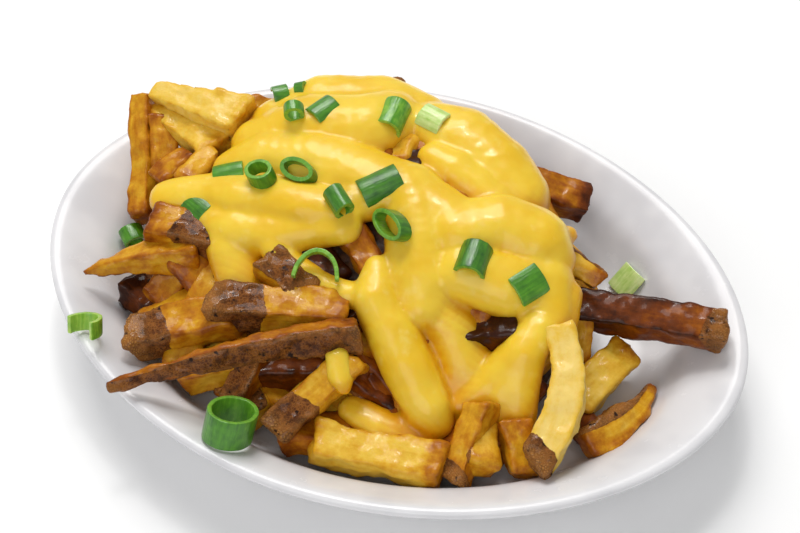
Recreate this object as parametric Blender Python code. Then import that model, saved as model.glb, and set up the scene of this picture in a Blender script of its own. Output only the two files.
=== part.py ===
"""Cheese fries in an oval white dish, as closed solids in metres.

The origin is the middle of the dish's foot, +Z is up and +X runs along the dish's long side.
The heap of hand-cut fries is one solid: a smaller mound with the fries that show fused on.
The cheese sauce lies on that mound as a solid of its own, and every ring or scrap of spring
onion is a solid too. Routes and places are hand-chosen and written in millimetres.
"""

import math
import random
from dataclasses import dataclass

import bmesh
import bpy
from mathutils import Matrix, Vector

MM = 0.001

# Dish: outer size of the rim, its height, and the profile as shares of the rim's outline
RIM_LONG = 220.0
RIM_SHORT = 166.0
RIM_POWER = 1.9
RIM_HEIGHT = 26.5
FLANGE_SHARE = 0.845
FLANGE_DROP = 7.0
FLOOR_HEIGHT = 5.4
FOOT_INNER_SHARE = 0.655
FOOT_OUTER_SHARE = 0.70
FOOT_RECESS = 1.5
DISH_SIDES = 56
RIM_TOP_POINT = 11

# Mound under the cheese and the fries
MOUND_X = -14.0
MOUND_Y = 25.0
MOUND_LEFT = 76.0
MOUND_RIGHT = 80.0
MOUND_FRONT = 80.0
MOUND_BACK = 50.0
MOUND_RISE = 44.0
FRONT_POWER = 2.0
SIDE_POWER = 2.6
BACK_POWER_LEFT = 6.0
BACK_POWER_RIGHT = 2.5
BACK_BLEND_START = -10.0
BACK_BLEND_WIDTH = 40.0
SHOULDER_X = 40.0
SHOULDER_Y = 2.0
SHOULDER_RISE = 9.0
SHOULDER_SPREAD = 18.0
MOUND_SIDES = 24
MOUND_RINGS = 5
MOUND_EDGE = 1.4

# Plan of the mound, which keeps inside the well and short of its bare right end
PLAN_LEFT = 84.0
PLAN_RIGHT = 70.0
PLAN_FRONT = 60.0
PLAN_BACK = 60.0
PLAN_POWER = 0.95
PLAN_CUT = 0.16

# Clearances between pieces that touch
GAP = 0.35
SEAT = 0.5
SLIVER = 0.001

# Fries
CORNER = 0.24
END_SCALE = 0.8
END_SHARE = 0.06
UNEVEN = 0.05
FRY_SEED = 11

# Cheese
SAUCE_VOXEL = 1.5
SAUCE_SMOOTHING = 5
SAUCE_TRIANGLES = 1900
DROP_TRIANGLES = 120
BEAD_STEP = 0.4

# Spring onion
ONION_WALL = 1.3
ONION_SEGMENT = 32.0
WHOLE_ARC = 290.0

# Colours, roughness
FINISHES = {
    "glazed_white": ((0.86, 0.86, 0.87), 0.12),
    "fried_potato": ((0.62, 0.33, 0.09), 0.45),
    "cheese_yellow": ((0.93, 0.62, 0.10), 0.22),
    "onion_green": ((0.16, 0.40, 0.05), 0.35),
}


@dataclass(frozen=True)
class Fry:
    """A cut stick of potato from start to end, in millimetres and degrees.

    bow lifts its middle, sway moves the middle sideways, and the two scales thin its ends.
    """

    start: tuple[float, float, float]
    end: tuple[float, float, float]
    width: float = 11.0
    depth: float = 11.0
    roll: float = 0.0
    bow: float = 0.0
    start_scale: float = 1.0
    end_scale: float = 1.0
    sway: float = 0.0


@dataclass(frozen=True)
class Stroke:
    """A run of poured cheese: the route of its top, its half width at each point, its flatness."""

    route: tuple[tuple[float, float, float], ...]
    half_widths: tuple[float, ...]
    flatness: float = 0.8


@dataclass(frozen=True)
class Onion:
    """A slice of a hollow green stalk, in millimetres and degrees.

    stalk is the heading and rise of the stalk's own direction. roll turns the slice about it,
    and at roll 0 the middle of an open slice faces up. place is the middle of a whole ring,
    or the middle of an open slice's wall.
    """

    place: tuple[float, float, float]
    radius: float
    length: float
    stalk: tuple[float, float]
    arc: float = 360.0
    squash: float = 1.0
    roll: float = 0.0


FRIES = {
    "rear_left_upright": Fry((-97, 26, 42), (-82, -6, 22), 8, 11, 20),
    "rear_left_second": Fry((-89, 22, 39), (-81, 9, 30), 10, 10),
    "rear_wedge": Fry((-94, 26, 45), (-60, 25, 46), 16, 9, 16, 1, 0.45, 1.05),
    "rear_wedge_low": Fry((-93, 25, 40), (-65, 15, 39), 14, 10, 14, 0, 0.6, 1.0),
    "rear_wedge_inner": Fry((-72, 16, 35), (-58, 28, 38), 11, 10),
    "rear_orange": Fry((-72, 12, 37), (-78, 0, 33), 9, 10, 10),
    "rear_pale": Fry((-66, 14, 39), (-68, -1, 37), 8, 9),
    "under_arm": Fry((-70, -19, 36), (-47, -16, 35), 13, 13, 8, 1),
    "left_tip": Fry((-84, -38, 28), (-54, -20, 32), 14, 13, -15, 1, 0.15, 1.1),
    "left_dark": Fry((-73, -31, 20), (-60, -35, 17), 11, 11),
    "left_short": Fry((-63, -35, 20), (-57, -20, 27), 12, 11, 20),
    "left_short_skin": Fry((-59, -23, 31), (-46, -27, 24), 12, 12, 15),
    "left_front": Fry((-59, -51, 24), (-34, -36, 30), 14, 13, 10),
    "knuckle": Fry((-39, -38, 34), (-2, -26, 35), 13, 12, 10, 1),
    "long_skin": Fry((-54, -74, 30), (6, -34, 37), 7, 11, -22, 2.5, 0.35, 1.05),
    "front_left_low": Fry((-43, -54, 17), (-26, -44, 21), 12, 11),
    "front_left_stub": Fry((-23, -42, 26), (-24, -56, 15), 11, 11, 12),
    "front_left_dark": Fry((-24, -46, 20), (0, -36, 21), 12, 12),
    "front_left_brown": Fry((-8, -63, 20), (6, -37, 31), 11, 12, 18),
    "under_tongue": Fry((-4, -36, 25), (19, -38, 16), 11, 11),
    "front": Fry((2, -60, 18), (40, -54, 18), 13, 12, 10, -1),
    "front_stand": Fry((44, -34, 26), (44, -55, 15), 10, 12, 15, 0, 1.0, 0.75),
    "front_back_small": Fry((47, -44, 12), (50, -33, 15), 9, 9),
    "behind_curtain": Fry((53, -34, 23), (61, -44, 14), 11, 11),
    "pale_long": Fry((56, -8, 38), (63.5, -47, 22), 13, 10, 6, 0, 0.8, 0.95, -6),
    "right_stub": Fry((59, 9, 27), (61, 0, 15), 8, 9),
    "right_low_near": Fry((65, -17, 13), (73, 8, 15), 13, 12, 14),
    "right_low_far": Fry((73.5, -29, 17), (83.5, 0, 14), 13, 11, 30, 1, 0.8, 0.6, 2.5),
    "right_under": Fry((66, -16, 11), (75, -25, 14), 8, 8),
    "long_right": Fry((30, 8, 22), (99, 15, 30), 12, 12, 20),
    "lobe_tip_skin": Fry((32, 24, 36), (59, 18, 31), 12, 10, 16, 1),
    "rear_right": Fry((4, 43, 36), (45, 51, 27), 12, 12, 16),
    "rear_right_thin": Fry((8, 62, 36), (21, 49, 34), 8, 9, 20, 0, 0.7, 1.0),
    "hollow_orange": Fry((-12, -3, 44), (7, -16, 37), 11, 11, 15),
    "hollow_left": Fry((-30, -20, 39), (-15, -26, 36), 12, 11, 10, 1),
    "hollow_deep": Fry((-24, -10, 39), (-8, -17, 35), 11, 11),
    "notch_rear": Fry((-14, 24, 44), (0, 27, 47), 10, 10),
    "curtain_hollow": Fry((28, -18, 30), (46, -11, 33), 11, 11),
    "back_left": Fry((-74, 38, 30), (-46, 56, 26), 12, 12, 14, 1),
    "back_left_low": Fry((-60, 47, 24), (-34, 61, 25), 12, 11, 10),
    "back_middle": Fry((-40, 55, 34), (-12, 62, 29), 12, 12, 20, 1),
    "back_middle_low": Fry((-24, 64, 26), (8, 60, 22), 12, 12, 12),
    "back_right": Fry((-10, 58, 32), (16, 60, 22), 12, 11, 18),
    "back_right_low": Fry((4, 58, 18), (32, 53, 17), 12, 12, 10),
    "back_upright": Fry((-20, 58, 38), (-8, 70, 23), 10, 10, 18),
}

STROKES = {
    "mass_front": Stroke(
        ((-54, 7, 48), (-45, 13, 53), (-30, 15, 56), (-15, 13, 57), (0, 13, 57)),
        (8, 11, 12, 12, 11),
    ),
    "mass_middle": Stroke(((-52, 20, 50), (-38, 28, 57), (-22, 33, 59), (-17, 40, 57)), (10, 13, 13, 11)),
    "mass_rear": Stroke(((-52, 30, 50), (-40, 42, 54), (-24, 48, 54), (-10, 47, 53)), (8, 11, 12, 10)),
    "rear_fall": Stroke(((-38, 44, 52), (-34, 56, 42), (-31, 62, 34)), (9, 8, 5)),
    "rear_fall_right": Stroke(((-10, 46, 52), (-6, 56, 42), (-3, 63, 32)), (9, 7, 5)),
    "right_lobe": Stroke(
        ((-5, 43, 55), (6, 42, 56), (18, 37, 54), (27, 31, 50), (30, 26, 45)),
        (9, 12, 12.5, 12, 9),
    ),
    "saddle": Stroke(((-14, 2, 54), (-4, 10, 56), (5, 12, 56), (15, 9, 55)), (7, 8, 9, 9)),
    "saddle_fall": Stroke(((4, 10, 56), (10, 0, 53), (14, -8, 49), (17, -15, 44)), (10, 11, 11, 9)),
    "arm": Stroke(
        ((-69, -9, 43), (-64, -7, 45), (-56, -4, 47), (-46, -4, 50), (-36, -3, 52), (-26, -3, 54),
         (-14, -2, 54)),
        (6.5, 7, 7, 8, 8, 8, 7),
        0.7,
    ),
    "apron": Stroke(
        ((-52, -12, 44), (-43, -13, 46), (-31, -11, 48), (-20, -7, 50), (-12, -6, 52)),
        (6, 8, 8, 7, 6),
    ),
    "arm_curtain": Stroke(
        ((-46, -12, 45), (-43, -18, 42), (-38, -23, 39), (-33, -27, 36)),
        (8, 8, 8, 5),
        0.7,
    ),
    "strand": Stroke(
        ((-33, -11, 48), (-29, -17, 45), (-21, -19, 43), (-11, -21, 41), (-3, -22, 42)),
        (5, 4.5, 4, 4, 4.5),
        0.9,
    ),
    "tongue": Stroke(
        ((2, -13, 45), (5, -21, 43), (13, -26, 38), (21, -32, 33), (29, -38, 27), (33, -40, 22)),
        (4.5, 7, 8.5, 8.5, 7.5, 5),
        0.85,
    ),
    "big_lobe": Stroke(((20, 6, 55), (30, 13, 55), (40, 14, 53), (46, 12, 47)), (11, 11, 11, 8)),
    "big_lobe_fall": Stroke(
        ((26, -4, 51), (38, -2, 49), (46, 4, 47), (51, -3, 42), (52, -9, 39)),
        (10, 11, 10, 8, 6),
    ),
    "nub": Stroke(((44, 18, 46), (48, 22, 45)), (5.5, 3.2), 0.9),
    "sheet": Stroke(
        ((15, -12, 46), (22, -18, 42), (28, -24, 36), (31, -30, 29), (33, -35, 23)),
        (9, 9, 8, 7, 6),
    ),
    "curtain_left": Stroke(((45, -8, 42), (41, -16, 37), (39, -25, 32), (37, -33, 25)), (6, 6, 6, 4)),
    "curtain_right": Stroke(
        ((50, -10, 41), (48, -18, 39), (51, -25, 32), (53, -31, 24), (54, -34, 19)),
        (7, 7, 6.5, 6, 4.5),
    ),
    "curtain_middle": Stroke(((46, -17, 38), (47, -26, 30), (48, -30, 25)), (7, 8, 6)),
    "edge_right": Stroke(((55, 4, 41), (57, -2, 38), (58, -7, 34)), (4, 3.5, 3), 0.9),
    "puddle": Stroke(((8, -45, 20), (18, -45, 19), (28, -43, 18), (33, -40, 19)), (4.5, 6, 6, 5), 0.7),
}

DROPS = {
    "cheese_drop": Stroke(((2, -41, 37), (5, -45, 34), (7, -47, 31)), (3.6, 4.2, 2.8), 0.6),
}

ONIONS = {
    "onion_ring_front": Onion((-17.5, -69.5, 27.5), 7.4, 9.0, (82, 63), 360, 0.85),
    "onion_curl_left": Onion((-69, -54, 29.5), 5.4, 5.4, (108, 60), 200, 0.8, 147),
    "onion_left_rear": Onion((-83.5, -11, 18), 3.4, 5.5, (-38, -15), 300, 0.8, 67),
    "onion_flat_left": Onion((-57.5, -11.5, 43.5), 8.0, 8.6, (-22, -2), 62, 1.0, 22),
    "onion_arc_left": Onion((-54, 2, 48), 5.0, 9.5, (28, 13), 110, 0.9, -9),
    "onion_ring_left": Onion((-41, -1, 53), 4.4, 4.6, (-168, 72), 360, 0.75, -36),
    "onion_fold": Onion((-31, 4.5, 53), 5.2, 4.4, (-111, 61), 360, 0.55, -80),
    "onion_ring_small": Onion((-41.5, 23, 58), 2.7, 3.4, (-62, -8), 360, 0.9, 17),
    "onion_strip_rear": Onion((-34.5, 28.5, 58), 4.4, 8.6, (65, 5), 100),
    "onion_dull_rear": Onion((-53, 36, 52), 3.6, 5.0, (40, 0), 140, 0.9),
    "onion_crumb_rear": Onion((-48, 39.5, 53), 2.2, 3.0, (16, 22), 150, 0.9, -12),
    "onion_half_green": Onion((-12.5, 35, 58), 4.4, 10.5, (93, 7), 150, 0.9, 28),
    "onion_half_pale": Onion((-3, 40, 56), 5.4, 8.6, (-15, 1), 90, 0.9, 15),
    "onion_tube_middle": Onion((-14, -4, 55.5), 2.9, 7.8, (-37, -12), 360, 0.85, 2),
    "onion_leaf_strip": Onion((-5.5, 6.5, 56.5), 6.0, 12.5, (45, 13), 110, 0.9, 19),
    "onion_loop": Onion((3, -4.5, 53), 6.4, 4.4, (-129, 33), 360, 0.5, -77),
    "onion_arc_thin": Onion((-14, -17, 47), 9.0, 2.6, (-66, 66), 170, 0.7, -10),
    "onion_striped_tube": Onion((29, -5.5, 53), 4.6, 10.0, (96, 8), 160, 0.9, 7),
    "onion_flat_right": Onion((45.5, -4.5, 47), 8.0, 9.6, (60, 5), 62, 1.0, 35),
    "onion_right_floor": Onion((63.5, 38, 12.5), 8.5, 9.0, (57, 41), 62, 1.0, -7),
}


def dish_profile():
    """The dish's section from the middle of its underside, over the rim, to the middle of its floor."""
    flange = RIM_HEIGHT - FLANGE_DROP
    return (
        (FOOT_INNER_SHARE - 0.02, FOOT_RECESS),
        (FOOT_INNER_SHARE, 0.0),
        (FOOT_OUTER_SHARE, 0.0),
        (0.735, FOOT_RECESS + 0.3),
        (0.80, 5.6),
        (0.85, 11.6),
        (0.88, flange - 3.2),
        (0.955, RIM_HEIGHT - 5.6),
        (0.988, RIM_HEIGHT - 3.4),
        (1.0, RIM_HEIGHT - 1.6),
        (0.992, RIM_HEIGHT - 0.3),
        (0.975, RIM_HEIGHT),
        (0.945, RIM_HEIGHT - 1.0),
        (0.89, flange + 2.7),
        (FLANGE_SHARE, flange),
        (0.82, flange - 2.6),
        (0.795, flange - 6.4),
        (0.76, flange - 10.2),
        (0.70, FLOOR_HEIGHT + 1.0),
        (0.60, FLOOR_HEIGHT + 0.1),
        (0.30, FLOOR_HEIGHT),
    )


def oval(share, turn):
    """The plan point of the dish's outline at an angle, drawn in to a share of the rim."""
    c, s = math.cos(turn), math.sin(turn)
    x = math.copysign(abs(c) ** (2 / RIM_POWER), c) * RIM_LONG / 2 * share
    y = math.copysign(abs(s) ** (2 / RIM_POWER), s) * RIM_SHORT / 2 * share
    return x, y


def dish_share(x, y):
    """How far out a plan point lies, as a share of the rim's outline."""
    across = abs(2 * x / RIM_LONG) ** RIM_POWER + abs(2 * y / RIM_SHORT) ** RIM_POWER
    return across ** (1 / RIM_POWER)


def dish_top(x, y):
    """Height of the dish's upper face under a plan point."""
    share = dish_share(x, y)
    upper = [(0.0, FLOOR_HEIGHT)] + list(reversed(dish_profile()[RIM_TOP_POINT:]))
    for (inner, low), (outer, high) in zip(upper, upper[1:]):
        if share <= outer:
            return low + (high - low) * max(share - inner, 0.0) / (outer - inner)
    return RIM_HEIGHT


def mound_top(x, y):
    """Height of the plain mound that carries the cheese and the fries."""
    dx, dy = x - MOUND_X, y - MOUND_Y
    side = MOUND_RIGHT if dx > 0 else MOUND_LEFT
    if dy > 0:
        blend = min(max((dx - BACK_BLEND_START) / BACK_BLEND_WIDTH, 0.0), 1.0)
        power = BACK_POWER_LEFT + (BACK_POWER_RIGHT - BACK_POWER_LEFT) * blend
        away = (dy / MOUND_BACK) ** power
    else:
        away = (-dy / MOUND_FRONT) ** FRONT_POWER
    away += (abs(dx) / side) ** SIDE_POWER
    reach = ((x - SHOULDER_X) ** 2 + (y - SHOULDER_Y) ** 2) / (2 * SHOULDER_SPREAD**2)
    return FLOOR_HEIGHT + MOUND_RISE * max(1 - away, 0.0) + SHOULDER_RISE * math.exp(-reach)


def mound_outline(turn, spare):
    """The mound's plan outline: inside the dish's well, and short of its bare right end."""
    c, s = math.cos(turn), math.sin(turn)
    x = (PLAN_RIGHT if c > 0 else PLAN_LEFT) * math.copysign(abs(c) ** PLAN_POWER, c)
    y = (PLAN_BACK if s > 0 else PLAN_FRONT) * math.copysign(abs(s) ** PLAN_POWER, s)
    if c > 0 and s > 0:
        y *= 1 - PLAN_CUT * c * s
        x *= 1 - PLAN_CUT * c * s
    grow = 1 + spare / math.hypot(x, y)
    return x * grow, y * grow


def new_object(name, bm, finish):
    """A named object from mesh code in millimetres, scaled to metres, with its finish."""
    bmesh.ops.scale(bm, vec=(MM, MM, MM), verts=bm.verts)
    mesh = bpy.data.meshes.new(name)
    bm.to_mesh(mesh)
    bm.free()
    obj = bpy.data.objects.new(name, mesh)
    bpy.context.scene.collection.objects.link(obj)
    mesh.materials.append(finish_material(finish))
    return obj


def finish_material(name):
    """The Principled material of a finish, made once."""
    if name in bpy.data.materials:
        return bpy.data.materials[name]
    colour, roughness = FINISHES[name]
    material = bpy.data.materials.new(name)
    material.use_nodes = True
    shader = material.node_tree.nodes["Principled BSDF"]
    shader.inputs["Base Color"].default_value = (*colour, 1.0)
    shader.inputs["Roughness"].default_value = roughness
    shader.inputs["Metallic"].default_value = 0.0
    return material


def loft(bm, rings, closed_ends=True):
    """Skin a list of rings of points, each as long as the next, and cap both ends."""
    loops = [[bm.verts.new(point) for point in ring] for ring in rings]
    count = len(loops[0])
    for near, far in zip(loops, loops[1:]):
        for i in range(count):
            j = (i + 1) % count
            bm.faces.new((near[i], near[j], far[j], far[i]))
    if closed_ends:
        bm.faces.new(list(reversed(loops[0])))
        bm.faces.new(loops[-1])
    return loops


def tidy_faces(bm):
    """Triangles only, all of them facing out."""
    bmesh.ops.triangulate(bm, faces=bm.faces)
    bmesh.ops.recalc_face_normals(bm, faces=bm.faces)


def apply_modifiers(obj):
    """Bake an object's modifiers into its mesh."""
    graph = bpy.context.evaluated_depsgraph_get()
    baked = bpy.data.meshes.new_from_object(obj.evaluated_get(graph))
    old = obj.data
    obj.modifiers.clear()
    obj.data = baked
    bpy.data.meshes.remove(old)


def boolean(obj, others, operation, solver="EXACT"):
    """Join or cut an object with a whole collection of others, which are then removed."""
    tools = bpy.data.collections.new("tools")
    bpy.context.scene.collection.children.link(tools)
    for other in others:
        tools.objects.link(other)
    modifier = obj.modifiers.new(operation.title(), "BOOLEAN")
    modifier.operation = operation
    modifier.operand_type = "COLLECTION"
    modifier.collection = tools
    modifier.solver = solver
    apply_modifiers(obj)
    for other in others:
        bpy.data.objects.remove(other)
    bpy.data.collections.remove(tools)


def islands(bm):
    """The separate closed shells of a mesh, as lists of faces."""
    bm.faces.ensure_lookup_table()
    seen = set()
    found = []
    for first in bm.faces:
        if first.index in seen:
            continue
        seen.add(first.index)
        shell = [first]
        for face in shell:
            for edge in face.edges:
                for beside in edge.link_faces:
                    if beside.index not in seen:
                        seen.add(beside.index)
                        shell.append(beside)
        found.append(shell)
    return found


def shell_volume(faces):
    """Signed volume inside a shell of triangles."""
    total = 0.0
    for face in faces:
        a, b, c = (v.co for v in face.verts)
        total += a.dot(b.cross(c)) / 6
    return total


def keep_main_body(obj):
    """Keep the largest shell alone: sealed hollows are filled and loose scraps dropped."""
    bm = bmesh.new()
    bm.from_mesh(obj.data)
    bmesh.ops.dissolve_degenerate(bm, dist=SLIVER * MM, edges=bm.edges)
    bmesh.ops.triangulate(bm, faces=bm.faces)
    shells = islands(bm)
    shells.sort(key=shell_volume, reverse=True)
    spare = [face for shell in shells[1:] for face in shell]
    bmesh.ops.delete(bm, geom=spare, context="FACES")
    bm.to_mesh(obj.data)
    bm.free()


def shade(obj, angle=40):
    """Smooth shading with sharp edges kept."""
    obj.data.shade_smooth()
    obj.data.set_sharp_from_angle(angle=math.radians(angle))


def make_dish(name="dish", grow=0.0):
    """The glazed dish. With grow it is the same shape, thicker all over, for cutting clearance."""
    bm = bmesh.new()
    rings = []
    for share, height in dish_profile():
        ring = []
        for i in range(DISH_SIDES):
            x, y = oval(share, 2 * math.pi * i / DISH_SIDES)
            ring.append((x, y, height + grow))
        rings.append(ring)
    loft(bm, rings)
    tidy_faces(bm)
    obj = new_object(name, bm, "glazed_white")
    shade(obj, 50)
    return obj


def make_mound(name, spare=0.0):
    """The plain mound. With spare it is larger by that much, for cutting the cheese to fit it."""
    bm = bmesh.new()
    tops, bases = [], []
    for step in range(MOUND_RINGS + 1):
        share = step / MOUND_RINGS
        top, base = [], []
        for i in range(MOUND_SIDES):
            x, y = mound_outline(2 * math.pi * i / MOUND_SIDES, spare)
            x, y = x * share, y * share
            low = dish_top(x, y) + SEAT - spare
            top.append((x, y, max(mound_top(x, y) + spare, low + MOUND_EDGE + spare)))
            base.append((x, y, low))
        tops.append(top)
        bases.append(base)
    loft(bm, [*bases[1:], *reversed(tops[1:])])
    tidy_faces(bm)
    return new_object(name, bm, "fried_potato")


def fry_frame(fry):
    """The directions along, across and up through a fry."""
    start, end = Vector(fry.start), Vector(fry.end)
    along = (end - start).normalized()
    across = along.cross(Vector((0, 0, 1))).normalized()
    up = across.cross(along)
    spin = Matrix.Rotation(math.radians(fry.roll), 3, along)
    return start, end, spin @ across, spin @ up


def make_fry(name, fry, draw):
    """One cut stick with bevelled long edges, rounded ends and a slight bow."""
    start, end, across, up = fry_frame(fry)
    rings = []
    for share in (0.0, END_SHARE, 0.5, 1 - END_SHARE, 1.0):
        scale = END_SCALE if share in (0.0, 1.0) else 1.0
        centre = start.lerp(end, share) + (up * fry.bow + across * fry.sway) * 4 * share * (1 - share)
        size = scale * (fry.start_scale + (fry.end_scale - fry.start_scale) * share)
        half_w = fry.width / 2 * size * (1 + draw.uniform(-UNEVEN, UNEVEN))
        half_d = fry.depth / 2 * size * (1 + draw.uniform(-UNEVEN, UNEVEN))
        ring = []
        for sx, sy in ((1, 1), (-1, 1), (-1, -1), (1, -1)):
            flat = (half_w * sx * (1 - 2 * CORNER), half_d * sy)
            tall = (half_w * sx, half_d * sy * (1 - 2 * CORNER))
            corner = (tall, flat) if sx == sy else (flat, tall)
            ring.extend(centre + across * a + up * b for a, b in corner)
        rings.append(ring)
    bm = bmesh.new()
    loft(bm, rings)
    tidy_faces(bm)
    return new_object(name, bm, "fried_potato")


def bead_shape():
    """The points and faces of a coarse unit ball, which every bead of cheese copies."""
    bm = bmesh.new()
    bmesh.ops.create_uvsphere(bm, u_segments=12, v_segments=8, radius=1.0)
    points = [v.co.copy() for v in bm.verts]
    faces = [tuple(v.index for v in face.verts) for face in bm.faces]
    bm.free()
    return points, faces


def beads(stroke):
    """Centre, half width and half height of each bead along a stroke."""
    points = list(zip(stroke.route, stroke.half_widths))
    for (here, wide), (there, wide_next) in zip(points, points[1:]):
        here, there = Vector(here), Vector(there)
        steps = max(math.ceil((there - here).length / (BEAD_STEP * min(wide, wide_next))), 1)
        for step in range(steps + 1):
            share = step / steps
            radius = wide + (wide_next - wide) * share
            tall = radius * stroke.flatness
            yield here.lerp(there, share) - Vector((0, 0, tall)), radius, tall


def sauce_blob(name, strokes, triangles):
    """Beads along every stroke, fused by a fine remesh, smoothed and thinned."""
    ball_points, ball_faces = bead_shape()
    points, faces = [], []
    for stroke in strokes.values():
        for centre, radius, tall in beads(stroke):
            first = len(points)
            size = Vector((radius, radius, tall))
            points.extend((centre + p * size) * MM for p in ball_points)
            faces.extend(tuple(first + i for i in face) for face in ball_faces)
    mesh = bpy.data.meshes.new(name)
    mesh.from_pydata(points, [], faces)
    mesh.materials.append(finish_material("cheese_yellow"))
    obj = bpy.data.objects.new(name, mesh)
    bpy.context.scene.collection.objects.link(obj)
    remesh = obj.modifiers.new("Fuse", "REMESH")
    remesh.mode = "VOXEL"
    remesh.voxel_size = SAUCE_VOXEL * MM
    smooth = obj.modifiers.new("Settle", "SMOOTH")
    smooth.factor = 0.5
    smooth.iterations = SAUCE_SMOOTHING
    apply_modifiers(obj)
    count = sum(len(p.vertices) - 2 for p in obj.data.polygons)
    thin = obj.modifiers.new("Thin", "DECIMATE")
    thin.ratio = min(triangles / count, 1.0)
    thin.use_collapse_triangulate = True
    apply_modifiers(obj)
    return obj


def grown_copy(obj, name, amount):
    """The same closed shape pushed out along its normals, for cutting clearance in a neighbour."""
    copy = bpy.data.objects.new(name, obj.data.copy())
    bpy.context.scene.collection.objects.link(copy)
    push = copy.modifiers.new("Grow", "DISPLACE")
    push.direction = "NORMAL"
    push.mid_level = 0.0
    push.strength = amount * MM
    apply_modifiers(copy)
    return copy


def onion_frame(onion):
    """The middle of the stalk that a slice is cut from, and its facing, side and stalk directions."""
    heading, rise = (math.radians(a) for a in onion.stalk)
    stalk = Vector((math.cos(heading) * math.cos(rise), math.sin(heading) * math.cos(rise), math.sin(rise)))
    level = stalk.cross(Vector((0, 0, 1))).normalized()
    facing = Matrix.Rotation(math.radians(onion.roll), 3, stalk) @ level.cross(stalk)
    centre = Vector(onion.place)
    if onion.arc < WHOLE_ARC:
        centre -= facing * onion.radius
    return centre, facing, stalk.cross(facing), stalk


def make_onion(name, onion, grow=0.0):
    """A slice of hollow stalk: part or all of an oval tube, turned to where it lies."""
    centre, facing, beside, stalk = onion_frame(onion)
    wall = ONION_WALL / 2 + grow
    half_length = onion.length / 2 + grow
    whole = onion.arc >= 360
    span = 360.0 if whole else onion.arc + 2 * math.degrees(grow / onion.radius)
    count = max(round(span / ONION_SEGMENT), 3)
    rings = []
    for i in range(count + 1):
        angle = math.radians(-span / 2 + span * i / count)
        ring = []
        for side, level in ((wall, -1), (wall, 1), (-wall, 1), (-wall, -1)):
            out = facing * (onion.radius + side) * math.cos(angle)
            out += beside * (onion.radius * onion.squash + side) * math.sin(angle)
            ring.append(centre + out + stalk * half_length * level)
        rings.append(ring)
    bm = bmesh.new()
    loft(bm, rings, closed_ends=not whole)
    bmesh.ops.remove_doubles(bm, verts=bm.verts, dist=SLIVER)
    tidy_faces(bm)
    obj = new_object(name, bm, "onion_green")
    shade(obj)
    return obj


def make_heap(cutters):
    """The mound with every fry that shows fused on, cut clear of the dish, cheese and onion."""
    draw = random.Random(FRY_SEED)
    heap = make_mound("fries")
    boolean(heap, [make_fry(f"fry_{name}", fry, draw) for name, fry in FRIES.items()], "UNION", "MANIFOLD")
    keep_main_body(heap)
    boolean(heap, cutters, "DIFFERENCE", "MANIFOLD")
    keep_main_body(heap)
    shade(heap, 35)
    return heap


def onion_room():
    """A slightly larger copy of every slice, which leaves its room in what it lies on."""
    return [make_onion(f"{name}_room", onion, GAP) for name, onion in ONIONS.items()]


def main():
    """Build the dish, the onion, the cheese and the heap in turn."""
    for obj in list(bpy.data.objects):
        bpy.data.objects.remove(obj)
    make_dish()
    for name, onion in ONIONS.items():
        make_onion(name, onion)
    sauce = sauce_blob("cheese_sauce", STROKES, SAUCE_TRIANGLES)
    drop = sauce_blob("cheese_drop", DROPS, DROP_TRIANGLES)
    sauce_room = grown_copy(sauce, "cheese_sauce_room", GAP)
    drop_room = grown_copy(drop, "cheese_drop_room", GAP)
    boolean(sauce, [make_mound("mound_room", GAP), *onion_room()], "DIFFERENCE")
    keep_main_body(sauce)
    shade(sauce, 60)
    shade(drop, 60)
    make_heap([make_dish("dish_room", GAP), sauce_room, drop_room, *onion_room()])


if __name__ == "__main__":
    main()
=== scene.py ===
"""The looks of cheese fries in an oval white dish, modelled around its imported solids.

Tables of sizes and places are in millimetres, in the solids' own frame: the origin is the
middle of the dish's foot, +Z is up and +X runs along the dish's long side. Meshes and shader
coordinates are in metres.
"""

from __future__ import annotations

import logging
import math
import random
from collections.abc import Callable, Iterable, Iterator
from dataclasses import dataclass, field
from enum import Enum

import bmesh
import bpy
import numpy as np
from mathutils import Matrix, Vector


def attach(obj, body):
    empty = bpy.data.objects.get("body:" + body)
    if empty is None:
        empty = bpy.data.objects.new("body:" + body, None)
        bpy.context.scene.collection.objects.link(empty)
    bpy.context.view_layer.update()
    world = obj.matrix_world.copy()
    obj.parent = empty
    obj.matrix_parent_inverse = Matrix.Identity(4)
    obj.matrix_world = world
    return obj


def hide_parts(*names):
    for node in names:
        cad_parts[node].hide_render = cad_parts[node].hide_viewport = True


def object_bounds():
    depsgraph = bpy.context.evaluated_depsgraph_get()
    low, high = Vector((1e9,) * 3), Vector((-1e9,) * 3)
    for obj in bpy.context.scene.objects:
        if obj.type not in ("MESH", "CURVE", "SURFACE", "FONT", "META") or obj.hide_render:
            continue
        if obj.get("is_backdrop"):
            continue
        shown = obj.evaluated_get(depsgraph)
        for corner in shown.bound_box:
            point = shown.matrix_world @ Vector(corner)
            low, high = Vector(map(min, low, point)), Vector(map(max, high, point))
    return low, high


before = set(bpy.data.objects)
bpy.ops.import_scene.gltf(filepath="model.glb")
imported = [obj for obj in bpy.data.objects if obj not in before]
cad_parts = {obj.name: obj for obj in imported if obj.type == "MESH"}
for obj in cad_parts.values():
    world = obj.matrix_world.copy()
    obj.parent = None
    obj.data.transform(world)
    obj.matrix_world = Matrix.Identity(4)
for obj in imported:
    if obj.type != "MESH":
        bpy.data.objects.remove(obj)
cad_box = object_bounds()

LOG = logging.getLogger("cheese_fries")
MM = 0.001

Point = tuple[float, float, float]
Colour = tuple[float, float, float]


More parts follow.
